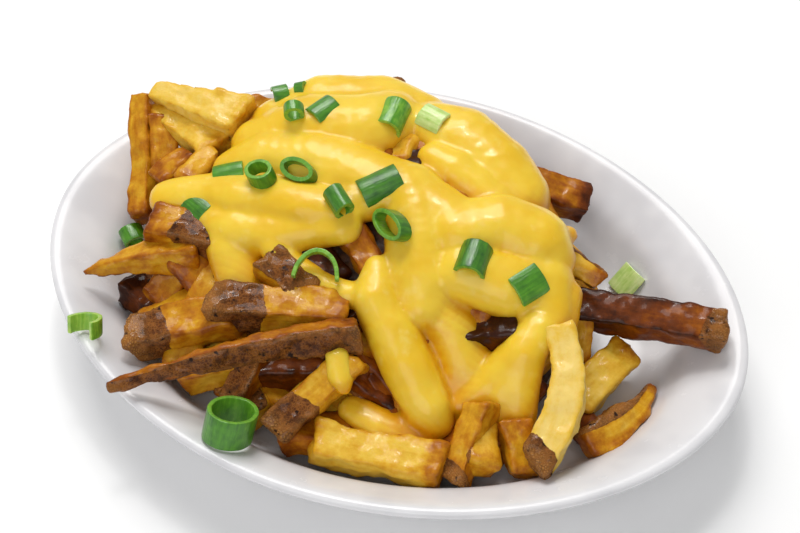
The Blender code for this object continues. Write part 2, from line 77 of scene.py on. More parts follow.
def seen(red: int, green: int, blue: int) -> Colour:
    """Turn a colour as the eye names it into the shader's linear light.

    Args:
        red: Red from 0 to 255.
        green: Green from 0 to 255.
        blue: Blue from 0 to 255.

    Returns:
        The linear red, green and blue.
    """
    shares = (part / 255 for part in (red, green, blue))
    return tuple(s / 12.92 if s <= 0.04045 else ((s + 0.055) / 1.055) ** 2.4 for s in shares)


def ease(value: np.ndarray, low: float, high: float) -> np.ndarray:
    """Rise smoothly from 0 at low to 1 at high.

    Args:
        value: The values to ease.
        low: Where the rise starts.
        high: Where it ends, which may lie below low for a fall.

    Returns:
        An array of shares from 0 to 1.
    """
    share = np.clip((value - low) / (high - low), 0.0, 1.0)
    return share * share * (3 - 2 * share)


class Signal:
    """One output in a node tree, on which Python's operators add maths nodes."""

    def __init__(self, recipe: Recipe, out: bpy.types.NodeSocket) -> None:
        """Keep the tree and the output.

        Args:
            recipe: The material that the output belongs to.
            out: The node's output.
        """
        self.recipe = recipe
        self.out = out

    def maths(self, operation: str, *values: Signal | float) -> Signal:
        """Add a Math node, or a Vector Math node on a vector.

        Args:
            operation: The node's operation.
            values: Its inputs in order.

        Returns:
            The node's output.
        """
        kind = "ShaderNodeVectorMath" if self.out.type == "VECTOR" else "ShaderNodeMath"
        return self.recipe.node(kind, {"operation": operation}, dict(enumerate(values)))

    def __add__(self, other: Signal | float) -> Signal:
        """Add a value or a signal."""
        return self.maths("ADD", self, other)

    __radd__ = __add__

    def __sub__(self, other: Signal | float) -> Signal:
        """Take a value or a signal away."""
        return self.maths("SUBTRACT", self, other)

    def __rsub__(self, other: Signal | float) -> Signal:
        """Take this signal away from a value."""
        return self.maths("SUBTRACT", other, self)

    def __mul__(self, other: Signal | float) -> Signal:
        """Multiply by a value or a signal."""
        return self.maths("MULTIPLY", self, other)

    __rmul__ = __mul__

    def clipped(self) -> Signal:
        """Hold between 0 and 1."""
        return self.recipe.node("ShaderNodeClamp", {}, {"Value": self})

    def rise(self, low: float, high: float) -> Signal:
        """Ease from 0 at low to 1 at high.

        Args:
            low: Where the rise starts.
            high: Where it ends.

        Returns:
            The eased share.
        """
        settings = {"interpolation_type": "SMOOTHSTEP"}
        limits = {"Value": self, "From Min": low, "From Max": high}
        return self.recipe.node("ShaderNodeMapRange", settings, limits)


class Recipe:
    """A procedural material, built up node by node."""

    def __init__(self, name: str) -> None:
        """Start a material with its Principled shader.

        Args:
            name: The material's name.
        """
        self.material = bpy.data.materials.new(name)
        self.material.use_nodes = True
        self.tree = self.material.node_tree
        self.shader = self.tree.nodes["Principled BSDF"]

    def node(
        self,
        kind: str,
        settings: dict[str, object] | None = None,
        inputs: dict[str | int, object] | None = None,
        out: str | int = 0,
    ) -> Signal:
        """Make any node: its settings first, then the values or links of its sockets.

        Args:
            kind: The node's type.
            settings: Properties of the node, or the stops of a colour ramp.
            inputs: Values, colours or signals for its sockets, by name or index.
            out: The output that is wanted.

        Returns:
            That output.
        """
        made = self.tree.nodes.new(kind)
        for key, value in (settings or {}).items():
            if key == "stops":
                self.set_stops(made.color_ramp, value)
            else:
                setattr(made, key, value)
        for key, value in (inputs or {}).items():
            self.feed(made.inputs[key], value)
        return Signal(self, made.outputs[out])

    def set_stops(self, ramp: bpy.types.ColorRamp, stops: Iterable[tuple[float, Colour]]) -> None:
        """Give a colour ramp its stops.

        Args:
            ramp: The ramp, with its two first elements.
            stops: Places from 0 to 1 and their colours, in order.
        """
        for index, (place, colour) in enumerate(stops):
            spot = ramp.elements[index] if index < 2 else ramp.elements.new(place)
            spot.position = place
            spot.color = (*colour, 1.0)

    def feed(self, socket: bpy.types.NodeSocket, value: object) -> None:
        """Link a signal to a socket, or set its value.

        Args:
            socket: The input to fill.
            value: A signal, number, colour or vector.
        """
        if isinstance(value, Signal):
            self.tree.links.new(value.out, socket)
        elif isinstance(value, tuple) and socket.type == "RGBA":
            socket.default_value = (*value, 1.0)
        else:
            socket.default_value = value

    def set(self, **values: object) -> None:
        """Fill the Principled shader's sockets.

        Args:
            values: Values or signals, by socket name with underscores for spaces.
        """
        for name, value in values.items():
            self.feed(self.shader.inputs[name.replace("_", " ")], value)

    def place(self) -> Signal:
        """Object coordinates in metres."""
        return self.node("ShaderNodeTexCoord", out="Object")

    def attribute(self, name: str, out: str = "Fac") -> Signal:
        """A value painted on the mesh.

        Args:
            name: The attribute's name.
            out: Fac for a number, Vector for a place.

        Returns:
            The value.
        """
        return self.node("ShaderNodeAttribute", {"attribute_name": name}, out=out)

    def noise(
        self, grain_mm: float, detail: float = 3.0, rough: float = 0.55, at: Signal | None = None
    ) -> Signal:
        """Cloudy noise around 0.5.

        Args:
            grain_mm: Rough size of its patches in millimetres.
            detail: Octaves of finer noise.
            rough: How strong the finer octaves are.
            at: Coordinates, or none for Object coordinates.

        Returns:
            The noise's strength.
        """
        inputs = {
            "Vector": at or self.place(),
            "Scale": 1 / (grain_mm * MM),
            "Detail": detail,
            "Roughness": rough,
        }
        return self.node("ShaderNodeTexNoise", {}, inputs)

    def cells(self, grain_mm: float) -> Signal:
        """Distance to the nearest border in a field of cells.

        Args:
            grain_mm: Rough size of a cell in millimetres.

        Returns:
            The distance, in cells.
        """
        inputs = {"Vector": self.place(), "Scale": 1 / (grain_mm * MM)}
        return self.node("ShaderNodeTexVoronoi", {"feature": "DISTANCE_TO_EDGE"}, inputs)

    def ramp(self, factor: Signal, stops: Iterable[tuple[float, Colour]]) -> Signal:
        """Colours along a factor.

        Args:
            factor: Where on the ramp.
            stops: Places and colours, in order.

        Returns:
            The colour.
        """
        return self.node("ShaderNodeValToRGB", {"stops": tuple(stops)}, {"Fac": factor})

    def mix(self, factor: Signal | float, first: object, second: object) -> Signal:
        """Mix two colours.

        Args:
            factor: Share of the second colour.
            first: First colour or signal.
            second: Second colour or signal.

        Returns:
            The mixed colour.
        """
        inputs = {0: factor, 6: first, 7: second}
        return self.node("ShaderNodeMix", {"data_type": "RGBA"}, inputs, out=2)

    def bump(
        self, height: Signal, depth_mm: float, strength: float, under: Signal | None = None
    ) -> Signal:
        """Fine relief in the shading.

        Args:
            height: Relief from 0 to 1.
            depth_mm: Depth of a whole step of the height, in millimetres.
            strength: Share of the relief that shows.
            under: Coarser relief below it.

        Returns:
            The bent normal.
        """
        inputs = {"Height": height, "Distance": depth_mm * MM, "Strength": strength}
        if under is not None:
            inputs["Normal"] = under
        return self.node("ShaderNodeBump", {}, inputs)


@dataclass(frozen=True)
class GlazeFinish:
    """White glaze with a faint waviness and thin smears of oil."""

    white: Colour = seen(228, 227, 229)
    shade: Colour = seen(214, 213, 216)
    roughness: float = 0.2
    smear_dulling: float = 0.10
    wave_mm: float = 18.0
    smear_mm: float = 7.0

    def make(self) -> bpy.types.Material:
        """Build the glaze."""
        recipe = Recipe("glazed_white")
        wave = recipe.noise(self.wave_mm, 2.0)
        smear = recipe.noise(self.smear_mm, 4.0, 0.6).rise(0.5, 0.75)
        recipe.set(
            Base_Color=recipe.mix(wave.rise(0.35, 0.7), self.white, self.shade),
            Roughness=self.roughness + smear * self.smear_dulling,
            Normal=recipe.bump(wave, 0.05, 0.5),
            Specular_IOR_Level=0.45,
        )
        return recipe.material


@dataclass(frozen=True)
class PotatoFinish:
    """Fried potato: pale to dark flesh, browned edges and ends, and netted brown peel.

    The sizes of the patterns are in millimetres. The swings say how far each pattern moves the
    flesh along its run of colours.
    """

    flesh: tuple[tuple[float, Colour], ...] = (
        (0.0, seen(238, 206, 114)),
        (0.20, seen(230, 188, 66)),
        (0.36, seen(212, 156, 30)),
        (0.50, seen(186, 118, 12)),
        (0.64, seen(150, 80, 6)),
        (0.80, seen(110, 50, 4)),
        (1.0, seen(54, 20, 2)),
    )
    peel_dark: Colour = seen(62, 28, 6)
    peel_mid: Colour = seen(94, 48, 12)
    peel_light: Colour = seen(150, 92, 36)
    crumb: Colour = seen(184, 128, 62)
    pit: Colour = seen(40, 18, 6)
    blotch_mm: float = 5.0
    fleck_mm: float = 1.1
    streak_mm: float = 1.6
    net_mm: float = 0.85
    patch_mm: float = 3.6
    pit_mm: float = 2.4
    ragged_mm: float = 3.2
    blotch_swing: float = 0.50
    streak_swing: float = 0.26
    fleck_swing: float = 0.14
    browning_swing: float = 0.30
    ragged_swing: float = 0.9

    def make(self) -> bpy.types.Material:
        """Build the potato."""
        recipe = Recipe("fried_potato")
        grain = recipe.attribute("grain", "Vector")
        crust = recipe.attribute("crust")
        blotch = recipe.noise(self.blotch_mm, 4.0, 0.6)
        fleck = recipe.noise(self.fleck_mm, 3.0, 0.6)
        streak = recipe.noise(self.streak_mm, 3.0, 0.55, grain)
        browning = (crust * (0.35 + blotch * 1.1)).clipped()
        cook = recipe.attribute("tone") + (blotch - 0.5) * self.blotch_swing
        cook = cook + (streak - 0.5) * self.streak_swing + (fleck - 0.5) * self.fleck_swing
        cook = cook + browning * self.browning_swing
        flesh = recipe.ramp(cook.clipped(), self.flesh)
        net = recipe.cells(self.net_mm).rise(0.0, 0.30)
        patch = recipe.noise(self.patch_mm, 4.0, 0.65)
        mottle = (net * 0.5 + patch.rise(0.30, 0.60) * 0.6).clipped()
        skin = recipe.mix(mottle, self.peel_light, self.peel_mid)
        skin = recipe.mix(patch.rise(0.48, 0.66) * 0.85, skin, self.peel_dark)
        skin = recipe.mix((crust * (net * 0.6 + streak * 0.5)).clipped(), skin, self.crumb)
        skin = recipe.mix(recipe.noise(self.pit_mm, 2.0, 0.5).rise(0.60, 0.72), skin, self.pit)
        ragged = (recipe.noise(self.ragged_mm, 4.0, 0.6) - 0.5) * self.ragged_swing
        edge = (recipe.attribute("peel") + ragged).rise(0.44, 0.56)
        relief = net * 0.5 + fleck * 0.5
        soft = recipe.bump(blotch * 0.5 + streak * 0.5, 0.5, 0.35)
        recipe.set(
            Base_Color=recipe.mix(edge, flesh, skin),
            Roughness=0.40 + fleck * 0.14 + edge * 0.16,
            Normal=recipe.bump(relief * edge + fleck * 0.35, 0.5, 0.7, soft),
            Specular_IOR_Level=0.12,
            Subsurface_Weight=0.15,
            Subsurface_Radius=(1.0, 0.55, 0.12),
            Subsurface_Scale=1.6 * MM,
            Coat_Weight=0.24,
            Coat_Roughness=0.10,
        )
        return recipe.material


@dataclass(frozen=True)
class CoreFinish:
    """The inside of the heap, painted dark brown as the shade between the fries, seen only through gaps.
    """

    # Painted shade: these dark browns stand for the shadow in the gaps between the fries.
    dark: Colour = seen(48, 25, 10)
    light: Colour = seen(112, 66, 22)
    patch_mm: float = 4.0

    def make(self) -> bpy.types.Material:
        """Build the dark inside."""
        recipe = Recipe("heap_shade")
        patch = recipe.noise(self.patch_mm, 4.0)
        recipe.set(
            Base_Color=recipe.mix(patch.rise(0.4, 0.75), self.dark, self.light),
            Roughness=0.45 + patch * 0.2,
            Normal=recipe.bump(patch, 1.5, 0.8),
        )
        return recipe.material


@dataclass(frozen=True)
class CheeseFinish:
    """Warm melted cheese sauce: smooth, slightly see-through and glossy."""

    light: Colour = seen(240, 204, 58)
    deep: Colour = seen(234, 190, 32)
    cream: Colour = seen(244, 216, 116)
    # Painted shade: this darker amber is mixed in where the cheese lies below the cheese around it.
    shade_amber: Colour = seen(220, 156, 6)
    cloud_mm: float = 16.0
    marble_mm: float = 5.0
    ripple_mm: float = 3.2

    def make(self) -> bpy.types.Material:
        """Build the cheese."""
        recipe = Recipe("cheese_yellow")
        cloud = recipe.noise(self.cloud_mm)
        marble = recipe.noise(self.marble_mm, 3.0, 0.5)
        colour = recipe.mix(cloud.rise(0.38, 0.66), self.light, self.deep)
        colour = recipe.mix(marble.rise(0.56, 0.8) * 0.6, colour, self.cream)
        # Painted shade: the hollow attribute darkens the cheese towards amber where it lies low among its
        # own folds.
        colour = recipe.mix(recipe.attribute("hollow"), colour, self.shade_amber)
        ripple = recipe.noise(self.ripple_mm, 2.0, 0.4)
        recipe.set(
            Base_Color=colour,
            Roughness=0.32 + marble * 0.10,
            Normal=recipe.bump(ripple * 0.4 + marble * 0.6, 0.30, 0.30),
            Specular_IOR_Level=0.35,
            Subsurface_Weight=0.45,
            Subsurface_Radius=(1.0, 0.65, 0.12),
            Subsurface_Scale=3.0 * MM,
            Coat_Weight=0.25,
            Coat_Roughness=0.07,
        )
        return recipe.material


class Wall(Enum):
    """The three faces of a slice of hollow stalk, in the order of their material slots."""

    OUTER = 0
    INNER = 1
    CUT = 2


@dataclass(frozen=True)
class OnionFinish:
    """Spring onion: ribbed green outside, paler and wetter inside, palest where it is cut."""

    rib_mm: float = 0.7
    patch_mm: float = 3.0
    rib_swing: float = 0.40
    patch_swing: float = 0.50
    stops: dict[Wall, tuple[tuple[float, Colour], ...]] = field(
        default_factory=lambda: {
            Wall.OUTER: (
                (0.0, seen(214, 230, 152)),
                (0.35, seen(150, 198, 62)),
                (0.65, seen(82, 148, 26)),
                (1.0, seen(34, 90, 18)),
            ),
            Wall.INNER: (
                (0.0, seen(226, 236, 178)),
                (0.35, seen(178, 212, 88)),
                (0.65, seen(110, 172, 44)),
                (1.0, seen(52, 112, 26)),
            ),
            Wall.CUT: (
                (0.0, seen(232, 240, 196)),
                (0.35, seen(190, 216, 104)),
                (0.65, seen(124, 178, 58)),
                (1.0, seen(70, 132, 40)),
            ),
        }
    )

    def make(self, wall: Wall) -> bpy.types.Material:
        """Build the finish of one face of the slices.

        Args:
            wall: Which face it is for.

        Returns:
            The material.
        """
        recipe = Recipe(f"onion_{wall.name.lower()}")
        grain = recipe.attribute("grain", "Vector")
        rib = recipe.noise(self.rib_mm, 2.0, 0.5, grain)
        patch = recipe.noise(self.patch_mm)
        tone = recipe.attribute("tone")
        tone = tone + (rib - 0.5) * self.rib_swing + (patch - 0.5) * self.patch_swing
        recipe.set(
            Base_Color=recipe.ramp(tone.clipped(), self.stops[wall]),
            Roughness=0.26 + patch * 0.16,
            Normal=recipe.bump(rib, 0.30, 0.6),
            Subsurface_Weight=0.15,
            Subsurface_Radius=(0.4, 1.0, 0.2),
            Subsurface_Scale=1.0 * MM,
            Coat_Weight=0.3,
            Coat_Roughness=0.15,
        )
        return recipe.material


@dataclass(frozen=True)
class FloorFinish:
    """The plain pale floor."""

    pale: Colour = (0.93, 0.93, 0.93)
    dim: Colour = (0.88, 0.88, 0.88)
    cloud_mm: float = 30.0

    def make(self) -> bpy.types.Material:
        """Build the floor's finish."""
        recipe = Recipe("pale_floor")
        cloud = recipe.noise(self.cloud_mm, 2.0)
        recipe.set(Base_Color=recipe.mix(cloud * 0.04, self.pale, self.dim), Roughness=0.6)
        return recipe.material


class Bench:
    """The modelling moves that every piece uses."""

    @staticmethod
    def clear() -> None:
        """Deselect everything."""
        bpy.ops.object.select_all(action="DESELECT")

    @staticmethod
    def hold(obj: bpy.types.Object) -> None:
        """Select one object alone and make it active.

        Args:
            obj: The object to work on.
        """
        Bench.clear()
        obj.select_set(True)
        bpy.context.view_layer.objects.active = obj

    @staticmethod
    def settle(obj: bpy.types.Object) -> None:
        """Write an object's place, turn and scale into its mesh.

        Args:
            obj: The object.
        """
        Bench.hold(obj)
        bpy.ops.object.transform_apply(location=True, rotation=True, scale=True)

    @staticmethod
    def modify(obj: bpy.types.Object, kind: str, **settings: object) -> None:
        """Add a modifier and apply it at once.

        Args:
            obj: The object.
            kind: The modifier's type.
            settings: Its properties.
        """
        Bench.hold(obj)
        modifier = obj.modifiers.new(kind.title(), kind)
        for key, value in settings.items():
            setattr(modifier, key, value)
        bpy.ops.object.modifier_apply(modifier=modifier.name)

    @staticmethod
    def join(objects: list[bpy.types.Object], name: str) -> bpy.types.Object:
        """Join objects into one.

        Args:
            objects: The objects, the first of which stays.
            name: The joined object's name.

        Returns:
            The joined object.
        """
        Bench.hold(objects[0])
        for obj in objects:
            obj.select_set(True)
        if len(objects) > 1:
            bpy.ops.object.join()
        objects[0].name = name
        objects[0].data.name = name
        return objects[0]

    @staticmethod
    def copy(obj: bpy.types.Object) -> bpy.types.Object:
        """Copy an object with a mesh of its own.

        Args:
            obj: The object.

        Returns:
            The copy.
        """
        copy = obj.copy()
        copy.data = obj.data.copy()
        bpy.context.scene.collection.objects.link(copy)
        return copy

    @staticmethod
    def points(obj: bpy.types.Object) -> np.ndarray:
        """The places of a mesh's vertices.

        Args:
            obj: The object.

        Returns:
            One row for each vertex.
        """
        flat = np.empty(len(obj.data.vertices) * 3)
        obj.data.vertices.foreach_get("co", flat)
        return flat.reshape(-1, 3)

    @staticmethod
    def paint(obj: bpy.types.Object, name: str, values: np.ndarray) -> None:
        """Store a number or a place for each vertex.

        Args:
            obj: The object.
            name: The attribute's name.
            values: One number or one row of three for each vertex.
        """
        wide = values.ndim > 1
        made = obj.data.attributes.new(name, "FLOAT_VECTOR" if wide else "FLOAT", "POINT")
        made.data.foreach_set("vector" if wide else "value", values.astype(np.float32).ravel())

    @staticmethod
    def choose(obj: bpy.types.Object, test: Callable[[bmesh.types.BMFace], bool]) -> None:
        """In edit mode, select the faces that pass a test.

        Args:
            obj: The object in edit mode.
            test: Whether a face is wanted.
        """
        bpy.ops.mesh.select_all(action="DESELECT")
        bm = bmesh.from_edit_mesh(obj.data)
        for face in bm.faces:
            face.select = test(face)
        bm.select_flush_mode()
        bmesh.update_edit_mesh(obj.data)

    @staticmethod
    def level(obj: bpy.types.Object, low: float, high: float) -> None:
        """In edit mode, select the faces whose middles lie between two heights.

        Args:
            obj: The object in edit mode.
            low: The lower height in metres.
            high: The higher one.
        """
        Bench.choose(obj, lambda face: low <= face.calc_center_median().z <= high)

    @staticmethod
    def finish(
        obj: bpy.types.Object, nodes: Iterable[str], slot: str, *materials: bpy.types.Material
    ) -> bpy.types.Object:
        """Dress a piece, let it ride on the one body and stand for its solids.

        Args:
            obj: The piece.
            nodes: The solids that it stands for.
            slot: The name of a material slot; not used.
            materials: Its materials, in slot order.

        Returns:
            The piece.
        """
        if materials:
            obj.data.materials.clear()
            for material in materials:
                obj.data.materials.append(material)
        Bench.hold(obj)
        bpy.ops.object.shade_smooth()
        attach(obj, "root")
        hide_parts(*nodes)
        LOG.info("%s: %d faces", obj.name, len(obj.data.polygons))
        return obj


class Relief:
    """Cloud textures that push surfaces in and out, each made once."""

    def __init__(self) -> None:
        """Start with no textures."""
        self.made: dict[float, bpy.types.Texture] = {}

    def push(self, obj: bpy.types.Object, grain_mm: float, depth_mm: float, group: str = "") -> None:
        """Displace a piece along its normals by cloudy noise.

        Args:
            obj: The piece, already in its place.
            grain_mm: Size of the bumps.
            depth_mm: How far they reach in all.
            group: Vertex group that limits it, if any.
        """
        if grain_mm not in self.made:
            texture = bpy.data.textures.new(f"clouds_{grain_mm}", "CLOUDS")
            texture.noise_scale = grain_mm * MM
            texture.noise_depth = 2
            self.made[grain_mm] = texture
        Bench.modify(
            obj,
            "DISPLACE",
            texture=self.made[grain_mm],
            texture_coords="GLOBAL",
            strength=depth_mm * MM,
            mid_level=0.5,
            vertex_group=group,
        )


@dataclass
class Dish:
    """The glazed oval dish: a wide flange round a shallow well, on a foot ring."""

    long: float = 220.0
    short: float = 166.0
    power: float = 1.9
    height: float = 26.5
    flange_share: float = 0.845
    flange_drop: float = 7.0
    floor: float = 5.4
    foot: tuple[float, float] = (0.655, 0.70)
    recess: float = 1.5
    sides: int = 96
    smoothing: int = 2
    rim_top: int = 11

    def profile(self) -> tuple[tuple[float, float], ...]:
        """The section from the underside over the rim to the floor, as share and height.

        The rim's highest point is the one that rim_top counts to.
        """
        flange = self.height - self.flange_drop
        return (
            (self.foot[0] - 0.02, self.recess),
            (self.foot[0], 0.0),
            (self.foot[1], 0.0),
            (0.735, self.recess + 0.3),
            (0.80, 5.6),
            (0.85, 11.6),
            (0.88, flange - 3.2),
            (0.955, self.height - 5.6),
            (0.988, self.height - 3.4),
            (1.0, self.height - 1.6),
            (0.992, self.height - 0.3),
            (0.975, self.height),
            (0.945, self.height - 1.0),
            (0.89, flange + 2.7),
            (self.flange_share, flange),
            (0.82, flange - 2.6),
            (0.795, flange - 6.4),
            (0.76, flange - 10.2),
            (0.70, self.floor + 1.0),
            (0.60, self.floor + 0.1),
            (0.30, self.floor),
        )

    def share(self, x: float, y: float) -> float:
        """How far out a plan point lies, as a share of the rim's outline.

        Args:
            x: Along the dish.
            y: Across the dish.

        Returns:
            0 in the middle and 1 at the rim.
        """
        across = abs(2 * x / self.long) ** self.power + abs(2 * y / self.short) ** self.power
        return across ** (1 / self.power)

    def top(self, x: float, y: float) -> float:
        """Height of the upper face under a plan point.

        Args:
            x: Along the dish.
            y: Across the dish.

        Returns:
            The height.
        """
        share = self.share(x, y)
        upper = [(0.0, self.floor), *reversed(self.profile()[self.rim_top :])]
        for (inner, low), (outer, high) in zip(upper, upper[1:]):
            if share <= outer:
                return low + (high - low) * max(share - inner, 0.0) / (outer - inner)
        return self.height

    def rim_point(self, turn: float) -> tuple[float, float]:
        """A point of the rim's outline, which is a superellipse.

        Args:
            turn: The point's angle in radians.

        Returns:
            Its place along and across the dish.
        """
        c, s = math.cos(turn), math.sin(turn)
        x = math.copysign(abs(c) ** (2 / self.power), c) * self.long / 2
        y = math.copysign(abs(s) ** (2 / self.power), s) * self.short / 2
        return x, y

    def build(self, glaze: bpy.types.Material) -> bpy.types.Object:
        """Extrude the outline along the section, cap both ends and smooth the whole.

        Args:
            glaze: The dish's finish.

        Returns:
            The finished piece.
        """
        Bench.clear()
        bpy.ops.mesh.primitive_circle_add(vertices=self.sides, radius=1.0)
        dish = bpy.context.object
        section = self.profile()
        share, height = section[0]
        for vertex in dish.data.vertices:
            x, y = self.rim_point(2 * math.pi * vertex.index / self.sides)
            vertex.co = Vector((x * share, y * share, height)) * MM
        bpy.ops.object.mode_set(mode="EDIT")
        bpy.ops.mesh.select_all(action="SELECT")
        for (share, height), (wider, higher) in zip(section, section[1:]):
            bpy.ops.mesh.extrude_edges_move()
            scale = wider / share
            bpy.ops.transform.resize(value=(scale, scale, 1), center_override=(0, 0, 0))
            bpy.ops.transform.translate(value=(0, 0, (higher - height) * MM))
        bpy.ops.mesh.extrude_edges_move()
        bpy.ops.mesh.merge(type="CENTER")
        bpy.ops.mesh.select_all(action="DESELECT")
        bpy.ops.mesh.select_non_manifold()
        bpy.ops.mesh.extrude_edges_move()
        bpy.ops.mesh.merge(type="CENTER")
        bpy.ops.mesh.select_all(action="SELECT")
        bpy.ops.mesh.normals_make_consistent(inside=False)
        bpy.ops.object.mode_set(mode="OBJECT")
        Bench.modify(dish, "SUBSURF", levels=self.smoothing, render_levels=self.smoothing)
        dish.name = "glazed_dish"
        return Bench.finish(dish, ["dish"], "glazed_dish", glaze)


@dataclass
class Mound:
    """The plain shape that the heap of fries follows.

    It falls away from its top by powers of the distance, steeply at the back left and softly at
    the back right, and has a shoulder, given by its place and height. reach is its outline's
    half size to the left, right, front and back, which is cut in at the back right.
    """

    dish: Dish
    x: float = -14.0
    y: float = 25.0
    left: float = 76.0
    right: float = 80.0
    front: float = 80.0
    back: float = 50.0
    rise: float = 44.0
    front_power: float = 2.0
    side_power: float = 2.6
    back_powers: tuple[float, float] = (6.0, 2.5)
    back_blend: tuple[float, float] = (-10.0, 30.0)
    shoulder: Point = (40.0, 2.0, 9.0)
    spread: float = 18.0
    reach: tuple[float, float, float, float] = (84.0, 60.0, 60.0, 60.0)
    reach_power: float = 0.95
    corner_cut: float = 0.16
    sides: int = 72
    rings: int = 22
    sink: float = 3.0
    trim: float = 0.9
    dish_gap: float = 0.5
    lip: float = 0.6
    thinnest: float = 0.4

    def top(self, x: float, y: float) -> float:
        """Height of the mound over a plan point.

        Args:
            x: Along the dish.
            y: Across the dish.

        Returns:
            The height.
        """
        dx, dy = x - self.x, y - self.y
        side = self.right if dx > 0 else self.left
        if dy > 0:
            first, last = self.back_blend
            blend = min(max((dx - first) / (last - first), 0.0), 1.0)
            steep, soft = self.back_powers
            away = (dy / self.back) ** (steep + (soft - steep) * blend)
        else:
            away = (dy / self.front) ** self.front_power
        away += (abs(dx) / side) ** self.side_power
        near = ((x - self.shoulder[0]) ** 2 + (y - self.shoulder[1]) ** 2) / (2 * self.spread**2)
        return self.dish.floor + self.rise * max(1 - away, 0.0) + self.shoulder[2] * math.exp(-near)

    def edge(self, turn: float) -> tuple[float, float]:
        """The mound's plan outline at an angle.

        Args:
            turn: The angle in radians.

        Returns:
            The plan point.
        """
        c, s = math.cos(turn), math.sin(turn)
        left, right, front, back = self.reach
        x = (right if c > 0 else left) * math.copysign(abs(c) ** self.reach_power, c)
        y = (back if s > 0 else front) * math.copysign(abs(s) ** self.reach_power, s)
        cut = 1 - self.corner_cut * c * s if c > 0 and s > 0 else 1.0
        return x * cut, y * cut

    def build(self, inside: bpy.types.Material) -> bpy.types.Object:
        """Shape a disc into the mound, a little below the fries, and close it underneath.

        Args:
            inside: The dark finish, which is painted shade.

        Returns:
            The finished piece.
        """
        Bench.clear()
        bpy.ops.mesh.primitive_circle_add(vertices=self.sides, radius=1.0, fill_type="NGON")
        core = bpy.context.object
        bpy.ops.object.mode_set(mode="EDIT")
        for _ in range(1, self.rings):
            bpy.ops.mesh.inset(thickness=1.0 / self.rings)
        bpy.ops.object.mode_set(mode="OBJECT")
        for vertex in core.data.vertices:
            share = vertex.co.xy.length
            turn = math.atan2(vertex.co.y, vertex.co.x)
            x, y = (share * self.trim * part for part in self.edge(turn))
            low = self.dish.top(x, y) + self.dish_gap + self.lip
            vertex.co = Vector((x, y, max(self.top(x, y) - self.sink, low))) * MM
        bpy.ops.object.mode_set(mode="EDIT")
        bpy.ops.mesh.select_all(action="SELECT")
        bpy.ops.mesh.extrude_region_move()
        bpy.ops.object.mode_set(mode="OBJECT")
        for vertex in core.data.vertices:
            if vertex.select:
                x, y, z = vertex.co / MM
                vertex.co.z = min(z - self.thinnest, self.dish.top(x, y) + self.dish_gap) * MM
        bpy.ops.object.mode_set(mode="EDIT")
        bpy.ops.mesh.select_all(action="SELECT")
        bpy.ops.mesh.normals_make_consistent(inside=False)
        bpy.ops.object.mode_set(mode="OBJECT")
        core.name = "heap_shade"
        return Bench.finish(core, ["fries"], "fried_potato", inside)


class Side(Enum):
    """A side of a fry that still has its peel, seen from its start along it."""

    TOP = (0, 1, 0)
    UNDER = (0, -1, 0)
    RIGHT = (-1, 0, 0)
    LEFT = (1, 0, 0)
    START = (0, 0, -1)
    END = (0, 0, 1)


class Kind(Enum):
    """The pieces that the fries are joined into."""

    GOLDEN = "fries_golden"
    PEEL = "fries_with_peel"
    PALE = "fries_pale"
    DARK = "fries_dark"
    REAR = "fries_rear"


@dataclass(frozen=True)
class Fry:
    """A cut stick of potato from start to end, in millimetres and degrees.

    bow lifts its middle, sway moves the middle sideways, the scales thin its ends and belly
    widens its middle. tone runs from 0, pale, to 1, nearly black, and fade is how much paler its
    end is. peel names the sides with peel, caps is how far peel covers the two ends, and brown is
    how crusted they are.
    """

    start: Point
    end: Point
    width: float = 11.0
    depth: float = 11.0
    roll: float = 0.0
    bow: float = 0.0
    start_scale: float = 1.0
    end_scale: float = 1.0
    sway: float = 0.0
    belly: float = 1.0
    tone: float = 0.45
    fade: float = 0.0
    peel: tuple[Side, ...] = ()
    caps: tuple[float, float] = (0.0, 0.0)
    brown: tuple[float, float] = (0.6, 0.6)
    kind: Kind = Kind.GOLDEN


UP, UNDER, RIGHT, LEFT, START, END = Side
_, PEEL, PALE, DARK, REAR = Kind

